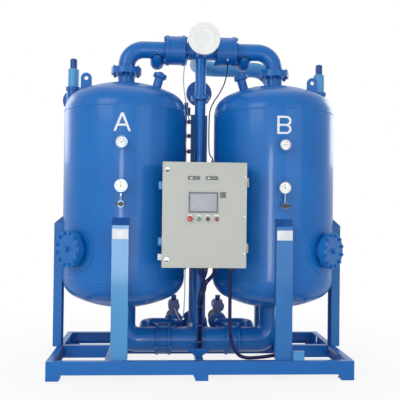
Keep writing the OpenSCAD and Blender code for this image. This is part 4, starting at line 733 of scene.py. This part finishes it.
def number_plates(name, words, centre, radius):
    """Numbers as flat meshes set round the scale, facing -Y."""
    gathered = bmesh.new()
    for word, a in zip(words, dial_angles(len(words))):
        text = bpy.data.curves.new(name, "FONT")
        text.body, text.size, text.extrude = word, NUMBER_SIZE * radius, 0.0001
        text.align_x, text.align_y = "CENTER", "CENTER"
        holder = bpy.data.objects.new(name, text)
        scene.collection.objects.link(holder)
        seen = holder.evaluated_get(bpy.context.evaluated_depsgraph_get())
        flat = bpy.data.meshes.new_from_object(seen)
        at = np.asarray(centre) + NUMBER_R * radius * dial_axes(a)[1] + [0, -0.0002, 0]
        stand = ((1, 0, 0, at[0]), (0, 0, -1, at[1]), (0, 1, 0, at[2]), (0, 0, 0, 1))
        flat.transform(Matrix(stand))
        gathered.from_mesh(flat)
        bpy.data.objects.remove(holder)
        bpy.data.meshes.remove(flat)
    mesh = bpy.data.meshes.new(name)
    gathered.to_mesh(mesh)
    gathered.free()
    add_piece(name, mesh, "dial_ink", "frame")


print("dial tools: strokes, needle, numbers over", -DIAL_SWEEP, "degrees")

# %% The four dials
CARD_Y, PRINT_Y = -0.5602, -0.5608
DIALS = [("thermometer", 1.772, 0.039, ["0", "40", "80", "120", "160", "200"], 41, 205.0),
         ("gauge", 1.445, 0.043, ["0", "0.4", "0.8", "1.2", "1.6"], 33, 100.0)]
for kind, z, r, words, count, degrees in DIALS:
    card = [(r - 0.001, 0), (r - 0.001, 0.0004), (r - 0.0016, 0.0006)]
    pane = [(r - 0.0008, 0.0028), (r - 0.0008, 0.0040), (0.7 * r, 0.0043), (0.3 * r, 0.0044)]
    for tower, x in TOWERS:
        back, face = (x, CARD_Y, z), (x, PRINT_Y, z)
        make_piece(f"{kind}_card_{tower}", [lathe(card, back, FRONT, 64)], "dial_white")
        strokes = dial_strokes(face, r, count, (count - 1) // (len(words) - 1))
        make_piece(f"{kind}_scale_{tower}", strokes, "dial_ink")
        number_plates(f"{kind}_numbers_{tower}", words, face, r)
        make_piece(f"{kind}_needle_{tower}", needle(face, r, degrees), "dial_ink")
        make_piece(f"{kind}_glass_{tower}", [lathe(pane, back, FRONT, 64)], "clear_glass")
print("dials:", len(TOWERS) * len(DIALS))

# %% [markdown]
# ## The panel's faces
# The door carries a pale touch screen in a dark frame, two number displays, a row of buttons and a
# small bare plate. All of these turn with the door, so they ride on its body. The digits could be
# text, but they are built from bars, as real segment displays are.

# %% Touch screen, displays and digits
DISPLAY_Z, DISPLAY_Y, DIGIT_Y = 1.504, -0.6871, -0.6878
DIGIT_PITCH, DIGIT_WIDTH, DIGIT_HALF = 0.0145, 0.0084, 0.0075
BAR_LENGTH, BAR_WIDTH = 0.0062, 0.0015
SEGMENTS = {"0": "abcdef", "1": "bc", "2": "abdeg", "3": "abcdg", "4": "bcfg", "5": "acdfg",
            "6": "acdefg", "7": "abc", "8": "abcdefg", "9": "abcdfg"}
BARS = {"a": (0, 1, 1), "b": (0.5, 0.5, 0), "c": (0.5, -0.5, 0), "d": (0, -1, 1),
        "e": (-0.5, -0.5, 0), "f": (-0.5, 0.5, 0), "g": (0, 0, 1)}


def digit_bars(number, left):
    """Bars of a segment number: upright or lying rounded plates round each digit's middle."""
    bars = []
    for i, digit in enumerate(number):
        for bar in SEGMENTS[digit]:
            x, up, lying = BARS[bar]
            size = (BAR_LENGTH, BAR_WIDTH) if lying else (BAR_WIDTH, BAR_LENGTH)
            at = (left + i * DIGIT_PITCH + DIGIT_WIDTH * x, DIGIT_Y, DISPLAY_Z + up * DIGIT_HALF)
            bars.append(plate(outline(*size, 0.0006, 2), FILM, at))
    return bars


screen = soft_plate(0.1925, 0.1275, 0.0009, (-0.010, -0.6866, 1.325), 0.002, 0.0004)
make_piece("screen_face", [screen], "screen_pale", "door")
for side, x, number in (("left", -0.081, "0416"), ("right", 0.051, "0238")):
    pane = soft_plate(0.080, 0.0205, 0.0006, (x, DISPLAY_Y, DISPLAY_Z), 0.0015, 0.0003)
    make_piece("display_face_" + side, [pane], "display_dark", "door")
    make_piece("display_digits_" + side, digit_bars(number, x - 0.0218), "digit_pale",
               "door")
print("screens: 1 touch screen, 2 displays")

# %% Button collars and the bare plate
BUTTONS_X = np.array([-107, -42, 23, 88]) / 1000
collars = [hoop((x, -0.6850, 1.204), FRONT, 0.0163, 0.0030, 0.0012, 48) for x in BUTTONS_X]
make_piece("button_collars", [], "bright_metal", "door", collars)
bare = soft_plate(0.045, 0.043, 0.0008, (0.1335, DOOR_Y, 1.3815), 0.002, 0.0004)
make_piece("panel_plate", [bare], "grey_plastic", "door")
# Plain white plates just above the buttons.
top_plates = [soft_plate(0.032, 0.012, 0.0009, (x, DOOR_Y, 1.2305), 0.002, 0.0004) for x in BUTTONS_X]
make_piece("button_top_plates", top_plates, "plate_print", "door")
dash = outline(0.0075, 0.0034, 0.0008, 2)
dashes = [plate(dash, FILM, (x + 0.0105 * k, DOOR_Y, 1.469)) for x in (-0.123, 0.009)
          for k in range(9)]
make_piece("display_captions", dashes, "caption_ink", "door")
head = [(0.0055, 0), (0.0052, 0.0012), (0.0030, 0.0022)]
heads = [lathe(head, (0.296, DOOR_Y, z), FRONT, 20) for z in (0.950, 1.226, 1.516)]
make_piece("door_edge_screws", heads, "bright_metal", "door")
print("panel:", len(collars), "collars,", len(top_plates), "legends,", len(heads), "screws, 1 plate")

# %% Painted dark reflections on the lower halves of the locks
PAINTED_REFLECTION_R = 0.0158
turn = np.radians(np.linspace(188, 352, 24))
half_disc = PAINTED_REFLECTION_R * np.stack([np.cos(turn), np.sin(turn)], 1)
# Each black half-disc is a painted reflection: the dark ground mirrored in the lower half of the
# chrome lock.
for lock, z in (("upper_lock", 1.563), ("lower_lock", 0.903)):
    shade = plate(half_disc, [(0, 0), (0.0007, 0)], (-0.275, -0.68945, z))
    make_piece(lock + "_painted_reflection", [shade], "black_plastic", lock + "_body")
print("locks: 2")

# %% Ears behind the cabinet and the block on its side
ears = [soft_plate(0.045, 0.060, 0.004, (-0.3165, -0.4795, z), 0.003, 0.001)
        for z in (1.453, 1.027)]
# The ears take the pale blue of the painted reflection paint.
make_piece("cabinet_ears", ears, "pale_reflection_paint")
block = soft_plate(0.030, 0.046, 0.030, (-0.3250, -0.5400, 0.915), 0.003, 0.0015)
make_piece("side_block", [block], "white_plastic")
print("ears:", len(ears))

# %% [markdown]
# ## Inside the cabinet
# The door opens, so the control plate behind it is dressed too. The CAD blocks stand for a
# controller, a row of breakers and a terminal strip. They could stay plain, but thin faces on
# their fronts, each from the same rounded plate, make them readable. Two wiring ducts run across
# the plate.

# %% Controller, breakers, terminals and ducts
SCREW = [(0.0028, 0), (0.0026, 0.0005), (0.0012, 0.0008)]
DUCTS_Z = (1.180, 1.455)


def screws(name, places_x, y, places_z):
    """Small lathed screw heads at each x and z."""
    made = [lathe(SCREW, (x, y, z), FRONT, 14) for x in places_x for z in places_z]
    make_piece(name, made, "bright_metal")


face = soft_plate(0.204, 0.098, 0.0012, (-0.132, -0.5699, 1.3303), 0.004, 0.0005)
make_piece("controller_face", [face], "grey_plastic")
window = soft_plate(0.060, 0.022, 0.0006, (-0.132, -0.5711, 1.3303), 0.002, 0.0003)
make_piece("controller_window", [window], "display_dark")
screws("controller_screws", np.linspace(-0.225, -0.039, 16), -0.5711, (1.2915, 1.3691))
breakers_x = np.linspace(0.0395, 0.1820, 5)
breakers = [soft_plate(0.0335, 0.086, 0.006, (x, -0.5593, 1.3199), 0.002, 0.001)
            for x in breakers_x]
make_piece("breakers", breakers, "white_plastic")
toggles = [soft_plate(0.011, 0.016, 0.006, (x, -0.5653, 1.3260), 0.002, 0.001) for x in breakers_x]
make_piece("breaker_toggles", toggles, "black_plastic")
ends_x = np.linspace(-0.2275, 0.2275, 30)
ends = [soft_plate(0.0135, 0.052, 0.010, (x, -0.5452, 0.9454), 0.0015, 0.001) for x in ends_x]
make_piece("terminals_grey", ends[:20], "grey_plastic")
make_piece("terminals_blue", ends[20:26], "valve_paint")
make_piece("terminals_green", ends[26:], "green_plastic")
screws("terminal_screws", ends_x, -0.5552, (0.9294, 0.9614))
ducts = [soft_plate(0.480, 0.042, 0.046, (0, -0.4995, z), 0.002, 0.001) for z in DUCTS_Z]
make_piece("wiring_ducts", ducts, "screen_pale")
slit = outline(0.0045, 0.030, 0.001, 2)
slits = [plate(slit, FILM, (x, -0.5455, z)) for x in np.linspace(-0.225, 0.225, 36)
         for z in DUCTS_Z]
make_piece("duct_slits", slits, "dial_ink")
print("inside: breakers", len(breakers), "terminals", len(ends), "ducts", len(ducts))

# %% [markdown]
# ## Plates on the legs and welds
# Each front leg has a bare white plate held by four rivets. Every joint of the welded steel shows a
# low bead: round the towers where the heads meet the shell, at the nozzles and behind the flanges.
# Bump in the paint could hint at it. A round profile carried along the joint, half sunk in the
# steel, catches the light as the real bead does.

# %% Leg plates
PLATE_Z = 1.0835
RIVET = [(0.0026, 0), (0.0024, 0.0006), (0.0013, 0.0011)]
for tower, x in TOWERS:
    bare = soft_plate(0.118, 0.075, 0.0012, (x, -0.5652, PLATE_Z), 0.003, 0.0005)
    make_piece("leg_plate_" + tower, [bare], "plate_print")
    rivets = [lathe(RIVET, (x + 0.053 * i, -0.5664, PLATE_Z + 0.0315 * k), FRONT, 16)
              for i in (-1, 1) for k in (-1, 1)]
    make_piece("leg_plate_rivets_" + tower, rivets, "bright_metal")
print("leg plates:", len(TOWERS), "with", len(rivets), "rivets each")

# %% Weld beads
STUB_R, HEADER_R = 0.058, 0.070
PIPE_BEAD = (0.0705, 0.010, 0.004)  # radius of the pipe, width and height of the bead
MANIFOLD_BEAD = (0.102, 0.011, 0.004)


def saddle_bead(centre, r, pipe_r, size, steps=64):
    """Bead where a hanging stub of radius r meets a pipe of radius R along X:
    (r cos t, r sin t, -sqrt(R^2 - r^2 sin^2 t))."""
    t = circle(steps)
    x, y = r * np.cos(t), r * np.sin(t)
    seam = np.stack([x, y, -np.sqrt(pipe_r ** 2 - y ** 2)], 1)
    along = unit(np.roll(seam, -1, 0) - np.roll(seam, 1, 0))
    out = np.stack([np.cos(t), np.sin(t), 0 * t], 1)
    out = unit(out - (out * along).sum(1, keepdims=True) * along)
    b = circle(BEAD_SIDES)[None, :, None]
    profile = np.cos(b) * out[:, None] + np.sin(b) * np.cross(out, along)[:, None]
    return np.asarray(centre) + seam[:, None] + size * profile


beads = []
for s in (-1, 1):
    x = s * TOWER_X
    beads += [hoop((x, 0, z), UP, SHELL, 0.016, 0.0022, 160) for z in (0.715, 2.065)]
    beads.append(hoop((x, 0, 2.3130), UP, 0.0715, 0.012, 0.005))
    beads.append(hoop((x, 0, 0.4695), UP, 0.103, 0.014, 0.006))
    beads += [hoop((x, 0, z), UP, *PIPE_BEAD) for z in (2.3862, 2.4422)]
    beads += [hoop((s * along, 0, HEADER_Z), RIGHT, *PIPE_BEAD) for along in (0.1298, 0.2942)]
    beads += [hoop((s * along, 0, 0.1928), RIGHT, *MANIFOLD_BEAD) for along in (0.229, 0.345)]
beads.append(hoop((0, -0.385, HEADER_Z), BACK, *PIPE_BEAD))
beads += [saddle_bead((s * 0.365, 0, HEADER_Z), STUB_R, HEADER_R, 0.004) for s in (-1, 1)]
make_piece("weld_beads", [], "blue_paint", hoops=beads)
print("weld beads:", len(beads))

# %% [markdown]
# ## Small fittings
# Glands hold the cables where they enter the cabinet, and a thin riser, clipped to the post, takes
# pilot air down from its valve. Cylinders could stand for the glands and clips. They are lathed
# from a few radii instead, as the real ones are turned from bar.

# %% Glands
def gland(place, axis, bore, length):
    """Gland as a lathed nut: a wide collar, a waist and a domed cap."""
    steps = [(0.006, 0), (0.006, 0.3), (0.004, 0.36), (0.004, 0.5), (0.005, 0.55), (0.005, 0.8),
             (0.002, 1), (-0.0005, 1)]
    return lathe([(bore / 2 + wall, part * length) for wall, part in steps], place, axis, 24)


glands = [gland((x / 1000, CABLE_Y, CABINET_FOOT), DOWN, 0.015, 0.022) for x in ENTRIES_MM]
glands += [gland((CONDUIT[0][0] / 1000, CABLE_Y, CABINET_FOOT), DOWN, CONDUIT_D, 0.03),
           gland((AIR[0][0] / 1000, CABLE_Y, CABINET_FOOT), DOWN, TUBE_D, 0.02),
           gland((LEAD[-1][0] / 1000, CABLE_Y, CABINET_TOP), UP, LEAD_D, 0.02)]
make_piece("cabinet_glands", glands, "black_plastic")
sensor = gland((0.218, -0.0834, 2.5168), (0, -0.62, -0.78), LEAD_D, 0.022)
make_piece("sensor_gland", [sensor], "bright_metal")
print("glands:", len(glands) + 1)

# %% Riser and pilot valve on the post
CLIP = [(0.010, -0.016), (0.016, -0.014), (0.019, -0.010), (0.019, 0.012), (0.015, 0.016),
        (0.008, 0.017)]
RISER = [(-109, 150, 2079), (-109, 150, 2025), (-111, 150, 1965), (-109, 150, 1903),
         (-112, 150, 1836), (-109, 150, 1770), (-109, 150, 1585)]
RISER_R = 0.005
VALVE_Y = 0.1535
clips = [lathe(CLIP, (-0.0845, 0.150, z), FRONT, 32) for z in (2.025, 1.903, 1.770, 1.600)]
make_piece("riser_clips", clips, "valve_paint")
make_piece("pilot_riser", [tube(smooth_path(RISER), RISER_R, 16)], "dulled_metal")
foot = soft_plate(0.130, 0.046, 0.005, (-0.085, VALVE_Y, 2.0802), 0.003, 0.001, BACK)
make_piece("pilot_valve_foot", [foot], "blue_paint")
block = soft_plate(0.070, 0.040, 0.062, (-0.110, VALVE_Y, 2.0852), 0.004, 0.002, BACK)
coil = lathe([(0.017, 0), (0.017, 0.040), (0.013, 0.044)], (-0.110, VALVE_Y, 2.1472), UP, 32)
make_piece("pilot_valve", [block, coil], "valve_paint")
print("riser clips:", len(clips))

# %% [markdown]
# ## Studio
# The photograph has a white ground and soft light from the front left. Small lamps would give hard
# shadows, so large area lamps light the object and the world fills the shadows. One tall lamp, the
# window, lights nothing and only shows as the long highlights down the towers. What the camera sees
# behind is white through the light path, so no extra light falls on the object for it.

# %% Floor
FLOOR_HALF = 14
WHITE = (1, 1, 1, 1)


def seen_ray(tree):
    """1 for camera, glossy and transmission rays, which see white, and 0 for all others."""
    ray = node(tree, "ShaderNodeLightPath").outputs
    seen = calc(tree, "ADD", ray["Is Camera Ray"], ray["Is Glossy Ray"])
    return calc(tree, "ADD", seen, ray["Is Transmission Ray"], use_clamp=True)


corners = np.array([[-1, -1, 0], [1, -1, 0], [1, 1, 0], [-1, 1, 0]]) * float(FLOOR_HALF)
floor_mesh = bpy.data.meshes.new("floor")
floor_mesh.from_pydata(corners.tolist(), [], [(0, 1, 2, 3)])
floor = bpy.data.objects.new("floor", floor_mesh)
scene.collection.objects.link(floor)
pale = bpy.data.materials.new("pale_floor")
pale.use_nodes = True
tree = pale.node_tree
matt = tree.nodes["Principled BSDF"]
matt.inputs["Roughness"].default_value = 0.9
matt.inputs["Specular IOR Level"].default_value = 0.0
even = remap(tree, noise(tree, 2.0, 3.0), 0.0, 1.0, 0.86, 0.9)
tree.links.new(even, matt.inputs["Base Color"])
away = node(tree, "ShaderNodeVectorMath", {0: where(tree)}, operation="LENGTH").outputs["Value"]
far = remap(tree, away, 1.2, 3.2, 0.86, 1.0)
share = calc(tree, "MULTIPLY", far, seen_ray(tree))
white = node(tree, "ShaderNodeEmission", {"Color": WHITE, "Strength": 1.0}).outputs[0]
both = node(tree, "ShaderNodeMixShader", {0: share, 1: matt.outputs[0], 2: white}).outputs[0]
tree.links.new(both, tree.nodes["Material Output"].inputs["Surface"])
floor_mesh.materials.append(pale)
print("floor:", 2 * FLOOR_HALF, "m wide")

# %% World and lamps
LAMPS = [  # name, place, aim, width and height, watts, whether it lights or only shines back
    ("key", (-4.2, -5.6, 4.6), (0, 0, 1.3), (3.6, 3.6), 174, True),
    ("front_fill", (3.8, -6.0, 2.6), (0, 0, 1.2), (3.4, 3.4), 54, True),
    ("top", (0, 0.6, 6.5), (0, 0, 1.0), (4.0, 4.0), 34, True),
    ("back_left", (-5.0, 4.0, 3.5), (0, 0, 1.4), (3.0, 3.0), 90, True),
    ("back_right", (5.0, 4.0, 3.5), (0, 0, 1.4), (3.0, 3.0), 90, True),
    ("low_fill", (0.4, -5.0, 0.7), (0, 0, 0.4), (3.0, 0.8), 21, True),
    ("window", (-1.1, -7.3, 1.2), (0.3, 0, 1.2), (0.9, 2.4), 110, False),
]


def lamp(name, place, aim, size, watts, lights):
    """Area lamp of a width and height at a place, its -Z axis towards the aim."""
    light = bpy.data.lights.new(name, "AREA")
    light.shape, light.energy = "RECTANGLE", watts
    light.size, light.size_y = size
    back = unit(np.asarray(place, float) - aim)
    across = unit(np.cross(UP, back))
    turned = np.eye(4)
    turned[:3, :3] = np.stack([across, np.cross(back, across), back], 1)
    turned[:3, 3] = place
    holder = bpy.data.objects.new(name, light)
    scene.collection.objects.link(holder)
    holder.matrix_world = Matrix(turned.tolist())
    holder.visible_camera, holder.visible_diffuse = False, lights


world = bpy.data.worlds.new("studio")
scene.world = world
world.use_nodes = True
tree = world.node_tree
tree.nodes.clear()
sky = {"Color": (0.96, 0.98, 1, 1), "Strength": 0.45}
fill = node(tree, "ShaderNodeBackground", sky).outputs[0]
white = node(tree, "ShaderNodeBackground", {"Color": WHITE, "Strength": 1.0}).outputs[0]
both = node(tree, "ShaderNodeMixShader", {0: seen_ray(tree), 1: fill, 2: white}).outputs[0]
tree.links.new(both, node(tree, "ShaderNodeOutputWorld").inputs["Surface"])
for row in LAMPS:
    lamp(*row)
print("lamps:", len(LAMPS))
